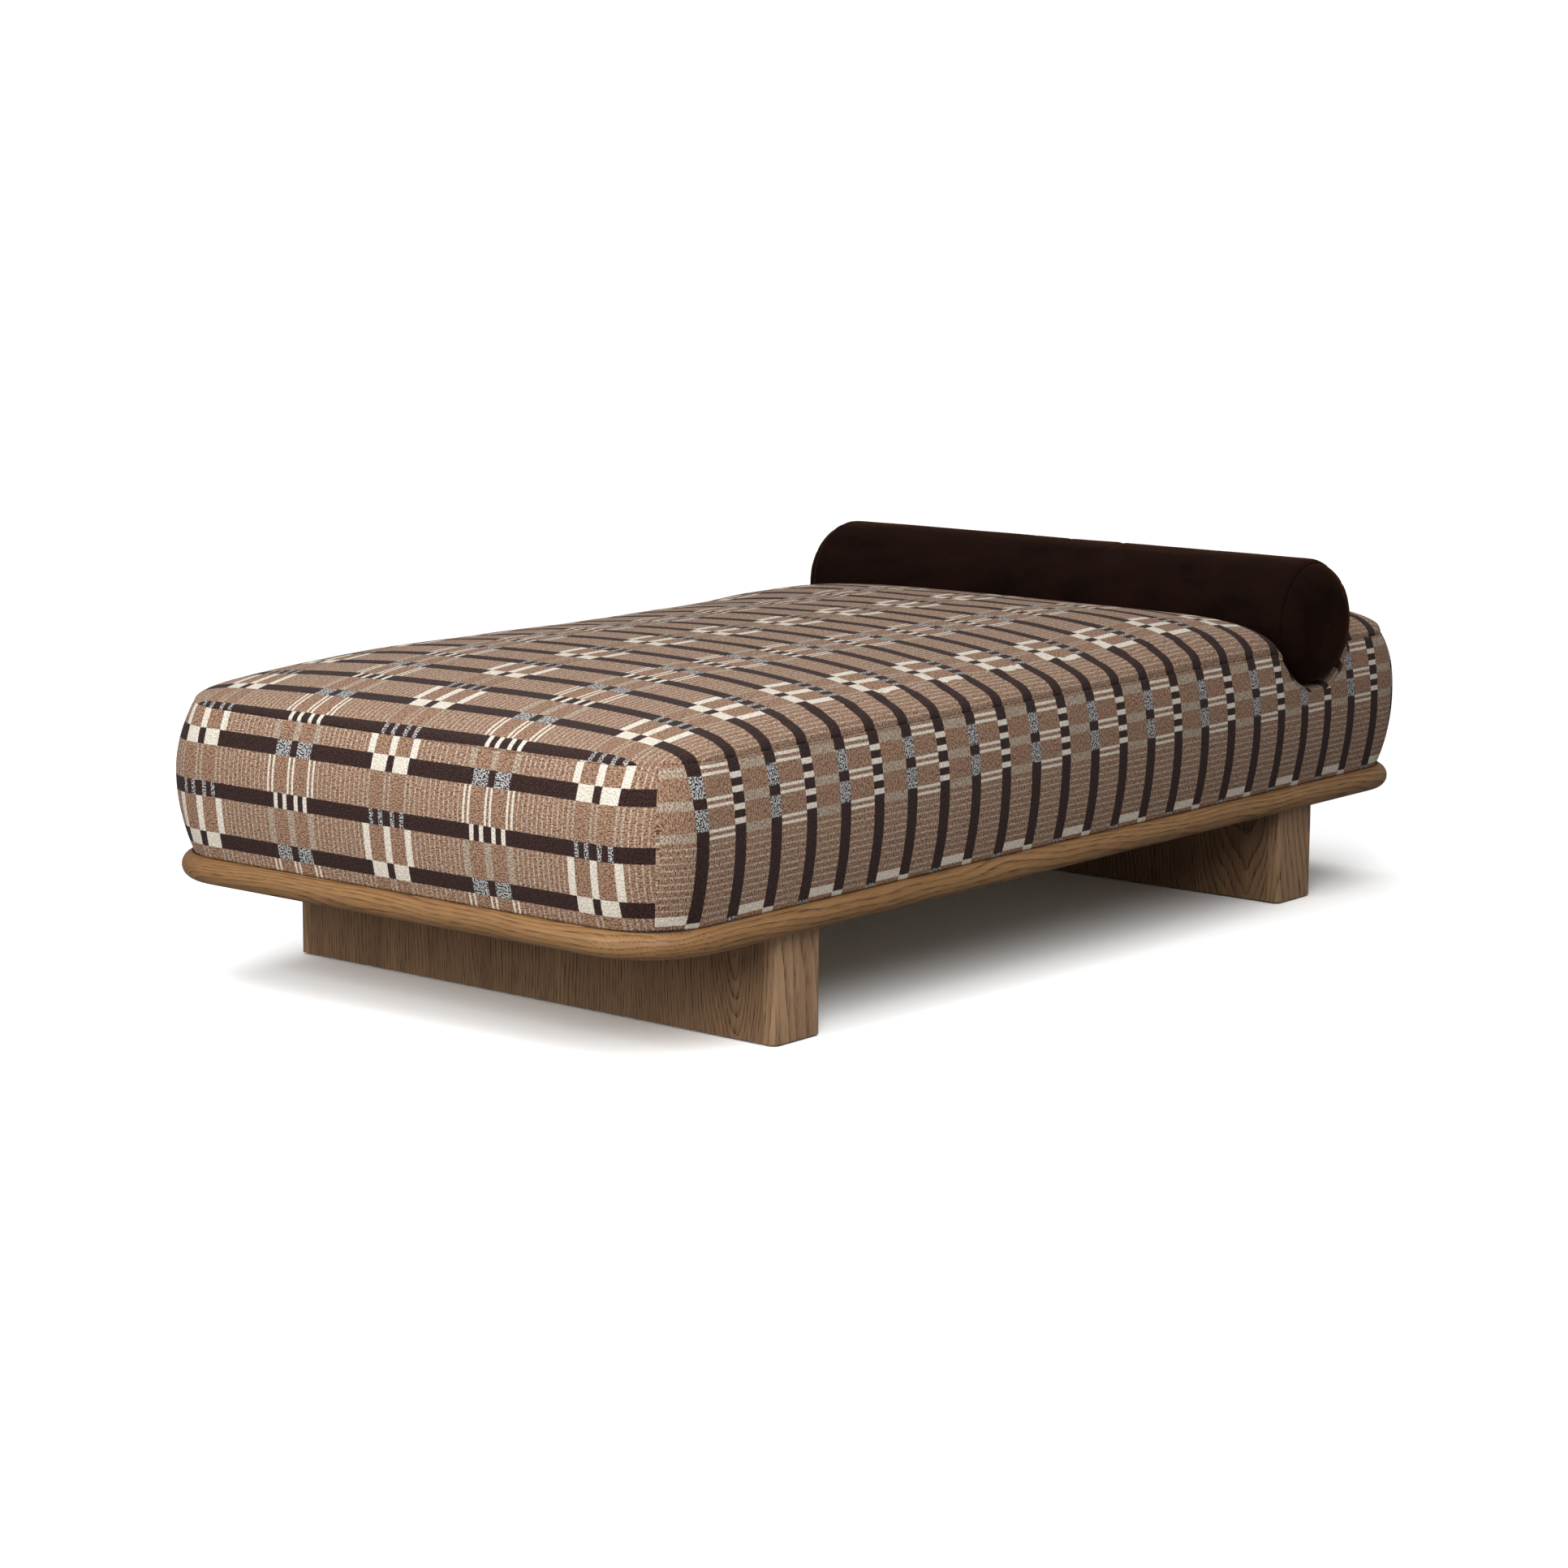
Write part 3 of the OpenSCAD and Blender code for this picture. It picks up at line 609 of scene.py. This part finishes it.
def build_bolster():
    """The bolster's tube and its two sewn-in caps."""
    y, r = bolster_rings("tube")
    tube = build_round("bolster_tube", y, r, 70, TUBE_WAVE)
    y, r = bolster_rings("cap")
    near = build_round("bolster_end_near", -y, r, 71, CAP_WAVE)
    far = build_round("bolster_end_far", y, r, 72, CAP_WAVE)
    return tube, near, far


# ---------- cloth simulation ----------

PUFF = 0.003                     # how far the padding pushes the fabric out, away from the seams
PUFF_REACH = 0.06                # the distance from a seam over which that grows
CLOTH_EASE = 0.03                # the cloth is cut larger than its drawn-in start by this share
CLOTH_PRESSURE = 8.0
CLOTH_MASS = 0.3
CLOTH_QUALITY = 5
CLOTH_FRAMES = 18


def mesh_points(mesh, kind="vertices"):
    """The points of a mesh, or its normals, as rows of an array."""
    rows = np.zeros(len(mesh.vertices) * 3)
    if kind == "vertices":
        mesh.vertices.foreach_get("co", rows)
    else:
        mesh.vertex_normals.foreach_get("vector", rows)
    return rows.reshape(-1, 3)


def rim_points(mesh):
    """Points on a panel's edge, where it is sewn."""
    uses = {}
    for polygon in mesh.polygons:
        for key in polygon.edge_keys:
            uses[key] = uses.get(key, 0) + 1
    return sorted({point for key, count in uses.items() if count == 1 for point in key})


def seam_distance(points, rim):
    """Each point's distance to the nearest point of the rim."""
    tree = KDTree(len(rim))
    for k, index in enumerate(rim):
        tree.insert(points[index], k)
    tree.balance()
    return np.array([tree.find(point)[2] for point in points])


def fill_out(pieces):
    """Cloth simulation of the sewn panels.

    Each starts drawn in by up to PUFF and is blown out again by the padding with its seams
    held. It keeps what it moved along its own normals, up to what it was drawn in by.
    """
    scene = bpy.context.scene
    starts = []
    for piece in pieces:
        mesh = piece.data
        full, out, rim = mesh_points(mesh), mesh_points(mesh, "normals"), rim_points(mesh)
        room = PUFF * smooth(seam_distance(full, rim) / PUFF_REACH)
        drawn_in = full - out * room[:, None]
        mesh.vertices.foreach_set("co", drawn_in.ravel())
        mesh.update()
        piece.vertex_groups.new(name="seams").add(rim, 1.0, "REPLACE")
        fabric = piece.modifiers.new("fabric", "CLOTH")
        fabric.settings.vertex_group_mass = "seams"
        fabric.settings.quality = CLOTH_QUALITY
        fabric.settings.mass = CLOTH_MASS
        fabric.settings.shrink_min = -CLOTH_EASE
        fabric.settings.use_pressure = True
        fabric.settings.uniform_pressure_force = CLOTH_PRESSURE
        fabric.settings.effector_weights.gravity = 0.0
        fabric.collision_settings.use_collision = False
        fabric.point_cache.frame_start = 1
        fabric.point_cache.frame_end = CLOTH_FRAMES
        starts.append((drawn_in, out, room))
    for number in range(1, CLOTH_FRAMES + 1):
        scene.frame_set(number)
    now = bpy.context.evaluated_depsgraph_get()
    results = [mesh_points(piece.evaluated_get(now).data) for piece in pieces]
    for piece, result, (drawn_in, out, room) in zip(pieces, results, starts):
        piece.modifiers.remove(piece.modifiers["fabric"])
        piece.vertex_groups.clear()
        risen = np.clip(np.einsum("ij,ij->i", result - drawn_in, out), 0, room)
        piece.data.vertices.foreach_set("co", (drawn_in + out * risen[:, None]).ravel())
        piece.data.update()
    scene.frame_set(1)


# ---------- materials ----------

def srgb(code):
    """A colour from its screen value, as the shaders take it."""
    parts = [int(code[k:k + 2], 16) / 255 for k in (1, 3, 5)]
    return tuple(p / 12.92 if p <= 0.04045 else ((p + 0.055) / 1.055) ** 2.4 for p in parts) + (1.0,)


class Shader:
    """One material's node tree, built by short calls that return sockets."""

    def __init__(self, name, roughness, **fixed):
        self.material = bpy.data.materials.new(name)
        self.material.use_nodes = True
        self.tree = self.material.node_tree
        self.tree.nodes.clear()
        self.surface = self.tree.nodes.new("ShaderNodeBsdfPrincipled")
        out = self.tree.nodes.new("ShaderNodeOutputMaterial")
        self.tree.links.new(self.surface.outputs[0], out.inputs[0])
        self.surface.inputs["Roughness"].default_value = roughness
        for socket, value in fixed.items():
            self.surface.inputs[socket.replace("_", " ")].default_value = value

    def set(self, socket, value):
        if isinstance(value, bpy.types.NodeSocket):
            self.tree.links.new(value, socket)
        else:
            socket.default_value = value

    def node(self, kind, inputs=(), **properties):
        made = self.tree.nodes.new(kind)
        for key, value in properties.items():
            setattr(made, key, value)
        for key, value in dict(inputs).items():
            self.set(made.inputs[key], value)
        return made

    def math(self, operation, *values, clamp=False):
        inputs = dict(enumerate(values))
        return self.node("ShaderNodeMath", inputs, operation=operation, use_clamp=clamp).outputs[0]

    def place(self, kind="Object"):
        return self.node("ShaderNodeTexCoord").outputs[kind]

    def cloth(self):
        """The fabric's own coordinates, u along its stripes and v across them."""
        return self.node("ShaderNodeAttribute", attribute_name="cloth").outputs["Vector"]

    def parts(self, vector):
        return self.node("ShaderNodeSeparateXYZ", {0: vector}).outputs

    def vector(self, x, y, z=0.0):
        return self.node("ShaderNodeCombineXYZ", {0: x, 1: y, 2: z}).outputs[0]

    def scaled(self, vector, scale):
        return self.node("ShaderNodeVectorMath", {0: vector, 1: scale}, operation="MULTIPLY").outputs[0]

    def noise(self, vector, scale, detail=2.0, roughness=0.5):
        inputs = {"Vector": vector, "Scale": scale, "Detail": detail, "Roughness": roughness}
        return self.node("ShaderNodeTexNoise", inputs).outputs[0]

    def sharpen(self, value, low, high):
        """0 below low, 1 above high, straight in between."""
        inputs = {"Value": value, "From Min": low, "From Max": high}
        return self.node("ShaderNodeMapRange", inputs).outputs[0]

    def mix(self, share, first, second):
        made = self.node("ShaderNodeMix", data_type="RGBA")
        self.set(made.inputs[0], share)
        self.set(made.inputs[6], first)
        self.set(made.inputs[7], second)
        return made.outputs[2]

    def bump(self, height, distance, strength=1.0):
        inputs = {"Height": height, "Distance": distance, "Strength": strength}
        self.set(self.surface.inputs["Normal"], self.node("ShaderNodeBump", inputs).outputs[0])

    def colour(self, value):
        self.set(self.surface.inputs["Base Color"], value)
        return self.material


def band(s, value, centre, half, soft=0.0004):
    """1 where value is within half of centre, with soft edges."""
    away = s.math("ABSOLUTE", s.math("SUBTRACT", value, centre))
    return s.math("MULTIPLY_ADD", away, -0.5 / soft, 0.5 * half / soft + 0.5, clamp=True)


def either(s, *masks):
    """1 where any of the masks is."""
    total = masks[0]
    for mask in masks[1:]:
        total = s.math("MAXIMUM", total, mask)
    return total


def bars(s, value, centres, half):
    """1 in each of several bands of one width."""
    return either(s, *(band(s, value, centre, half) for centre in centres))


def both(s, *masks):
    """1 where all of the masks are."""
    total = masks[0]
    for mask in masks[1:]:
        total = s.math("MULTIPLY", total, mask)
    return total


def plaid():
    """The woven plaid: dark stripes, fields, groups of bars and thin lines, in coarse yarn."""
    s = Shader("plaid_weave", 0.88, Sheen_Weight=0.06, Sheen_Roughness=0.5, Specular_IOR_Level=0.12)
    cloth = s.cloth()
    u0, v0, _ = s.parts(cloth)
    jag_u = s.noise(s.scaled(cloth, (150, 620, 1)), 1.0, 1.0)
    jag_v = s.noise(s.scaled(cloth, (620, 150, 1)), 1.0, 1.0)
    u = s.math("ADD", u0, s.math("MULTIPLY_ADD", jag_u, 2 * YARN_JAG, -YARN_JAG))
    v = s.math("ADD", v0, s.math("MULTIPLY_ADD", jag_v, 2 * YARN_JAG, -YARN_JAG))
    from_one = s.math("PINGPONG", u, HALF_U)     # 0 in a first group, HALF_U in a second
    second = s.math("GREATER_THAN", from_one, HALF_U / 2)
    first = s.math("SUBTRACT", 1.0, second)
    away = s.math("MINIMUM", from_one, s.math("SUBTRACT", HALF_U, from_one))
    from_a = s.math("PINGPONG", v, HALF_V)
    phase = s.math("FLOORED_MODULO", v, REPEAT_V)
    field_q = s.math("GREATER_THAN", phase, HALF_V)
    field_p = s.math("SUBTRACT", 1.0, field_q)
    stripe_a = band(s, from_a, 0.0, STRIPE_HALF)
    stripe_b = band(s, from_a, HALF_V, STRIPE_HALF)
    field = s.math("SUBTRACT", 1.0, either(s, stripe_a, stripe_b))

    bars_p = bars(s, away, WIDE_BARS, WIDE_BAR_HALF)
    pairs_q = bars(s, away, FINE_BARS, FINE_BAR_HALF)
    blocks_a = bars(s, away, BLOCKS, BLOCK_HALF)
    bars_b = bars(s, away, STRIPE_BARS, STRIPE_BAR_HALF)
    thin = s.math("SUBTRACT", away, THIN_AT - THIN_STEP * 4)
    thin = band(s, s.math("PINGPONG", thin, THIN_STEP / 2), 0.0, THIN_HALF, 0.0005)
    thin = both(s, thin, s.math("GREATER_THAN", away, THIN_FROM))

    speck = s.noise(s.scaled(cloth, (350, 450, 1)), 1.0, 2.0, 0.6)
    slub = s.noise(s.scaled(cloth, (150, 560, 1)), 1.0, 2.0, 0.6)
    wide = s.noise(s.scaled(cloth, (9, 9, 1)), 1.0, 2.0)
    grain = s.math("ADD", s.math("MULTIPLY", speck, 0.6), s.math("MULTIPLY", slub, 0.4))
    grain = s.sharpen(grain, 0.435, 0.565)
    fleck = s.sharpen(s.noise(s.scaled(cloth, (560, 700, 1)), 1.0, 1.0), 0.58, 0.66)
    tan = s.mix(grain, srgb("#553627"), srgb("#bb967b"))
    tan = s.mix(s.math("MULTIPLY", s.sharpen(wide, 0.3, 0.7), 0.2), tan, srgb("#865f48"))
    tan = s.mix(s.math("MULTIPLY", fleck, 0.45), tan, srgb("#c9b49e"))
    dark = s.mix(grain, srgb("#1f120f"), srgb("#3b2523"))
    dark = s.mix(s.math("MULTIPLY", fleck, 0.35), dark, srgb("#7d675c"))
    cream = s.mix(grain, srgb("#cbbfae"), srgb("#f6efe2"))
    muted = s.mix(grain, srgb("#7f6a58"), srgb("#c9b9a5"))
    dash = s.sharpen(s.noise(s.scaled(cloth, (90, 300, 1)), 1.0, 1.0), 0.32, 0.5)
    mottle = s.sharpen(s.noise(s.scaled(cloth, (330, 430, 1)), 1.0, 1.0, 0.5), 0.48, 0.52)
    mottled = s.mix(mottle, srgb("#211c1d"), srgb("#c4c2c0"))

    thin_tone = s.mix(grain, srgb("#94806d"), srgb("#d8cab8"))

    cloth_colour = s.mix(both(s, field, thin, s.math("MULTIPLY", dash, 0.95)), tan, thin_tone)
    cloth_colour = s.mix(both(s, field, field_p, bars_p, first), cloth_colour, cream)
    cloth_colour = s.mix(both(s, field, field_p, bars_p, second), cloth_colour, muted)
    cloth_colour = s.mix(both(s, field, field_q, pairs_q, second), cloth_colour, cream)
    cloth_colour = s.mix(both(s, field, field_q, pairs_q, first), cloth_colour, muted)
    cloth_colour = s.mix(either(s, stripe_a, stripe_b), cloth_colour, dark)
    cloth_colour = s.mix(both(s, stripe_a, blocks_a, first), cloth_colour, cream)
    cloth_colour = s.mix(both(s, stripe_a, blocks_a, second), cloth_colour, mottled)
    cloth_colour = s.mix(both(s, stripe_b, bars_b, second), cloth_colour, cream)
    cloth_colour = s.mix(both(s, stripe_b, bars_b, first), cloth_colour, mottled)

    weft = s.math("SINE", s.math("MULTIPLY", v0, 2 * math.pi / YARN_PITCH))
    warp = s.math("SINE", s.math("MULTIPLY", u0, 2 * math.pi / YARN_PITCH))
    weave = s.math("MULTIPLY_ADD", s.math("MULTIPLY", weft, warp), 0.35, grain)
    s.bump(weave, 0.0005, 0.8)
    s.set(s.surface.inputs["Roughness"], s.math("MULTIPLY_ADD", grain, -0.12, 0.95))
    return s.colour(cloth_colour)


def velvet():
    """Short dark pile, brushed a little unevenly."""
    s = Shader("bolster_velvet", 0.85, Sheen_Weight=0.3, Sheen_Roughness=0.3, Specular_IOR_Level=0.04)
    s.surface.inputs["Sheen Tint"].default_value = srgb("#a5684a")
    place = s.place()
    patch = s.noise(s.scaled(place, (14, 9, 14)), 1.0, 3.0, 0.6)
    pile = s.noise(place, 900.0, 2.0, 0.6)
    share = s.math("ADD", s.math("MULTIPLY", patch, 0.6), s.math("MULTIPLY", pile, 0.4))
    share = s.sharpen(share, 0.35, 0.65)
    s.bump(s.math("ADD", pile, s.math("MULTIPLY", patch, 0.5)), 0.0007, 0.7)
    return s.colour(s.mix(share, srgb("#0f0806"), srgb("#24130d")))


def wood(name, along, tones, trunk, tilt=0.06, wander=0.03, ring_gap=0.006, figure=0.7, roughness=0.5,
         pore_rate=680):
    """Open-pored oak whose grain runs along one axis.

    trunk is a point of the log's centre line, which leans by tilt from the grain, so that the
    growth rings run out on the faces as arches.
    """
    light, deep, pore = tones
    s = Shader(name, roughness, Specular_IOR_Level=0.3)
    place = s.place()
    axis = "xyz".index(along)

    def stretched(across, lengthwise):
        return s.scaled(place, [lengthwise if k == axis else across for k in range(3)])

    parts = s.parts(place)
    first, second = (k for k in range(3) if k != axis)
    lean = s.math("MULTIPLY_ADD", parts[axis], tilt, -trunk[first])
    side = s.math("ADD", parts[first], lean)
    other = s.math("SUBTRACT", parts[second], trunk[second])
    out = s.math("SQRT", s.math("ADD", s.math("MULTIPLY", side, side), s.math("MULTIPLY", other, other)))
    drift = s.noise(stretched(6, 1.6), 1.0, 2.0, 0.5)
    waver = s.noise(stretched(45, 3), 1.0, 2.0, 0.5)
    out = s.math("ADD", out, s.math("MULTIPLY_ADD", drift, 2 * wander, -wander))
    out = s.math("ADD", out, s.math("MULTIPLY_ADD", waver, 0.005, -0.0025))
    ring = s.math("FRACT", s.math("DIVIDE", out, ring_gap))
    late = s.math("POWER", ring, 3.0)
    pores = s.sharpen(s.noise(stretched(pore_rate, 26), 1.0, 1.0, 0.6), 0.50, 0.60)
    rows = s.math("MULTIPLY", pores, s.math("MULTIPLY_ADD", late, 0.75, 0.25))
    tone = s.sharpen(s.noise(stretched(20, 1.5), 1.0, 3.0, 0.6), 0.3, 0.7)
    base = s.mix(tone, light, s.mix(0.5, light, deep))
    base = s.mix(s.math("MULTIPLY", late, figure), base, deep)
    base = s.mix(s.math("MULTIPLY", rows, 0.9), base, pore)
    s.bump(s.math("SUBTRACT", 1.0, rows), 0.0004, 0.7)
    s.set(s.surface.inputs["Roughness"], s.math("MULTIPLY_ADD", rows, 0.25, roughness))
    return s.colour(base)


def plywood():
    """Birch plywood, with its plies showing on the edges."""
    s = Shader("plywood", 0.65)
    place = s.place()
    _, _, z = s.parts(place)
    grain = s.noise(s.scaled(place, (3, 60, 60)), 1.0, 3.0)
    ply = s.math("GREATER_THAN", s.math("FRACT", s.math("DIVIDE", z, 0.0036)), 0.5)
    colour = s.mix(s.sharpen(grain, 0.3, 0.7), srgb("#c9a877"), srgb("#e0c79b"))
    colour = s.mix(s.math("MULTIPLY", ply, 0.2), colour, srgb("#8d6b43"))
    s.bump(grain, 0.0003, 0.4)
    return s.colour(colour)


def speckled(name, low, high, size, roughness, bump=0.0004, **fixed):
    """A plain material with fine uneven colour: felt, cloth, foam or webbing."""
    s = Shader(name, roughness, **fixed)
    grain = s.noise(s.place(), 1 / size, 3.0, 0.7)
    s.bump(grain, bump, 0.8)
    return s.colour(s.mix(s.sharpen(grain, 0.3, 0.7), srgb(low), srgb(high)))


def webbing_weave():
    """Elastic webbing with a woven rib."""
    s = Shader("webbing", 0.8)
    place = s.place()
    x, y, _ = s.parts(place)
    ribs_x, ribs_y = (s.math("SINE", s.math("MULTIPLY", across, 2500)) for across in (x, y))
    rib = s.math("MULTIPLY", ribs_x, ribs_y)
    grain = s.noise(place, 500.0, 2.0)
    s.bump(s.math("ADD", rib, grain), 0.0003, 0.7)
    return s.colour(s.mix(s.sharpen(grain, 0.3, 0.7), srgb("#57452f"), srgb("#8a7155")))


def zinc():
    """Zinc-plated steel."""
    s = Shader("bolt_steel", 0.35, Metallic=1.0)
    grain = s.noise(s.place(), 300.0, 3.0)
    s.bump(grain, 0.0001, 0.4)
    s.set(s.surface.inputs["Roughness"], s.math("MULTIPLY_ADD", grain, 0.3, 0.2))
    return s.colour(s.mix(grain, srgb("#a9adb0"), srgb("#d5d8da")))


# Woods: the light tone, the deep tone and the pores.
OAK = (srgb("#a67e53"), srgb("#75502d"), srgb("#3a2716"))
LEG = (srgb("#ab8563"), srgb("#6a4f39"), srgb("#251810"))
LEG_END = (srgb("#c09a76"), srgb("#826247"), srgb("#3c2c21"))
INNER = (srgb("#d8bb8c"), srgb("#b8935f"), srgb("#8a6a42"))


def paint(node, material):
    """Gives a CAD node its material."""
    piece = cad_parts[node]
    piece.data.materials.clear()
    piece.data.materials.append(material)


TIMBER_NODES = (
    "foot_leg_top_rail", "foot_leg_bottom_rail", "head_leg_top_rail", "head_leg_bottom_rail",
    "corner_splines", "ledger_strips", "foot_bearer", "centre_bearer", "head_bearer",
    "frame_board_near", "frame_board_far", "frame_board_foot", "frame_board_head",
    "frame_cross_rails", "frame_corner_blocks",
)


def paint_frame():
    """Materials of every CAD node that shows or could show."""
    rail_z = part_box("rail_near")[0].z
    rail = dict(tilt=0.09, wander=0.05, ring_gap=0.0075, figure=0.8, roughness=0.42, pore_rate=820)
    long_rail = wood("oak_long", "x", OAK, (0, -0.56, rail_z - 0.09), **rail)
    cross_rail = wood("oak_cross", "y", OAK, (-1.07, 0, rail_z - 0.09), **rail)
    for node in ("rail_near", "rail_far"):
        paint(node, long_rail)
    for node in ("rail_foot", "rail_head"):
        paint(node, cross_rail)
    veneer = dict(tilt=0.16, wander=0.045, ring_gap=0.0062)
    solid = dict(tilt=0.10, wander=0.03, ring_gap=0.0075)
    for leg in ("foot", "head"):
        low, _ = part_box(leg + "_leg_outer_panel")
        face = wood(leg + "_leg_veneer", "z", LEG, (low.x + 0.03, -0.42, 0), **veneer)
        end = wood(leg + "_leg_end", "z", LEG_END, (low.x + 0.30, 0.2, 0), **solid)
        for node in ("_leg_outer_panel", "_leg_inner_panel"):
            paint(leg + node, face)
        for node in ("_leg_near_end", "_leg_far_end"):
            paint(leg + node, end)
    timber = wood("inner_timber", "y", INNER, (0, 0, -0.12), roughness=0.65)
    for node in TIMBER_NODES:
        paint(node, timber)
    boards = plywood()
    paint("deck_panel_foot", boards)
    paint("deck_panel_head", boards)
    paint("floor_pads", speckled("felt", "#2a2724", "#4a4642", 0.0012, 0.95, Sheen_Weight=0.3))
    paint("dust_cover", speckled("lining_cloth", "#121212", "#262626", 0.001, 0.9))
    webbing = webbing_weave()
    paint("webbing_long", webbing)
    paint("webbing_cross", webbing)
    steel = zinc()
    paint("leg_bolts", steel)
    paint("seat_bolts", steel)
    paint("bolster_core", speckled("foam", "#d9cdae", "#efe6cd", 0.0015, 0.9))
    paint("bolster_zip", speckled("zip_tape", "#0e0908", "#241a16", 0.0012, 0.8))


# ---------- dressing ----------

PANEL_NODES = {
    "seat_panel_near": ("cover_side_near", "foam_pad_near"),
    "seat_panel_far": ("cover_side_far", "foam_pad_far"),
    "seat_panel_foot": ("cover_foot", "foam_pad_foot"),
    "seat_panel_head": ("cover_head", "foam_pad_head"),
    "seat_top_main": ("cover_main_top", "foam_main"),
    "channel_lining": ("cover_channel", "foam_cradle"),
    "seat_top_head": ("cover_head_top", "foam_head"),
}
BOLSTER_NODES = {
    "bolster_tube": ("bolster_cover", "bolster_wadding"),
    "bolster_end_near": ("bolster_cap_near",),
    "bolster_end_far": ("bolster_cap_far",),
}


def dress():
    """Makes the soft pieces, gives them their fabric and puts each on its body."""
    walls, tops = build_seat()
    seat = list(walls.values()) + list(tops.values())
    bolster = build_bolster()
    fill_out([piece for piece in seat + list(bolster) if piece.name != "channel_lining"])
    fabric = plaid()
    for piece in seat:
        piece.data.materials.append(fabric)
        thicken(piece, PANEL_T)
        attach(piece, "daybed")
        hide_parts(*PANEL_NODES[piece.name])
    pile = velvet()
    for piece in bolster:
        piece.data.materials.append(pile)
        thicken(piece, PANEL_T)
        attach(piece, "bolster")
        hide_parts(*BOLSTER_NODES[piece.name])


# ---------- stage ----------

ROOM_LIGHT = 0.26                # the room's even light on the object
ROOM_SEEN = 1.2                  # how bright the room itself looks
FLOOR_SEEN = 1.7                 # the floor's whiteness, and the lower one that it throws back
FLOOR_THROWN = 0.25
OVERHEAD = 1.15                  # a broad even light from above
LAMPS = {                        # place, size and power of the lamps near the foot end
    "foot": ((-3.3, 0.2, 1.4), 1.6, 44.0),
    "side": ((-2.2, -2.1, 2.1), 1.6, 50.0),
}
CAMERA_AT = (-4.838, -3.8578, 1.2954)
CAMERA_TURN = (39.24, 9.684, 0.298)      # degrees to the left of +X, downwards and clockwise
CAMERA_LENS = 85.39


def floor_paint():
    """White to look at, with less light thrown back onto the object."""
    s = Shader("floor_white", 0.9, Specular_IOR_Level=0.0)
    seen = s.node("ShaderNodeLightPath").outputs["Is Camera Ray"]
    return s.colour(s.math("MULTIPLY_ADD", seen, FLOOR_SEEN - FLOOR_THROWN, FLOOR_THROWN))


def build_stage():
    """A pale floor, a bright room, a broad light overhead and two soft lamps near the foot end."""
    size = 60.0
    mesh = bpy.data.meshes.new("floor")
    corners = [(-size, -size, 0), (size, -size, 0), (size, size, 0), (-size, size, 0)]
    mesh.from_pydata(corners, [], [(0, 1, 2, 3)])
    floor = bpy.data.objects.new("floor", mesh)
    bpy.context.scene.collection.objects.link(floor)
    mesh.materials.append(floor_paint())

    world = bpy.data.worlds.new("studio")
    world.use_nodes = True
    background = world.node_tree.nodes["Background"]
    background.inputs[0].default_value = (1.0, 1.0, 1.0, 1.0)
    path = world.node_tree.nodes.new("ShaderNodeLightPath")
    seen = world.node_tree.nodes.new("ShaderNodeMapRange")
    seen.inputs["To Min"].default_value = ROOM_LIGHT
    seen.inputs["To Max"].default_value = ROOM_SEEN
    world.node_tree.links.new(path.outputs["Is Camera Ray"], seen.inputs["Value"])
    world.node_tree.links.new(seen.outputs[0], background.inputs[1])
    bpy.context.scene.world = world

    sky = bpy.data.lights.new("overhead", "SUN")
    sky.energy = OVERHEAD
    sky.angle = math.radians(60)
    bpy.context.scene.collection.objects.link(bpy.data.objects.new("overhead", sky))
    for name, (place, width, power) in LAMPS.items():
        lamp = bpy.data.lights.new(name, "AREA")
        lamp.size = width
        lamp.energy = power
        holder = bpy.data.objects.new(name, lamp)
        holder.location = place
        aim = Vector((-BELLY_X, 0, BELLY_Z)) - holder.location
        holder.rotation_euler = aim.to_track_quat("-Z", "Y").to_euler()
        bpy.context.scene.collection.objects.link(holder)
    bpy.context.scene.view_settings.view_transform = "Standard"


def build_camera():
    """The camera at the photographer's place."""
    yaw, pitch, roll = (math.radians(angle) for angle in CAMERA_TURN)
    heading = Vector((math.cos(yaw), math.sin(yaw), 0))
    forward = Vector((heading.x * math.cos(pitch), heading.y * math.cos(pitch), -math.sin(pitch)))
    level = Vector((math.sin(yaw), -math.cos(yaw), 0))
    above = level.cross(forward)
    right = math.cos(roll) * level + math.sin(roll) * above
    up = right.cross(forward)
    data = bpy.data.cameras.new("camera")
    data.lens = CAMERA_LENS
    data.sensor_width = 36.0
    camera = bpy.data.objects.new("camera", data)
    rows = [(right[k], up[k], -forward[k], CAMERA_AT[k]) for k in range(3)]
    camera.matrix_world = Matrix(rows + [(0, 0, 0, 1)])
    bpy.context.scene.collection.objects.link(camera)
    bpy.context.scene.camera = camera


build_camera()
dress()
paint_frame()
build_stage()
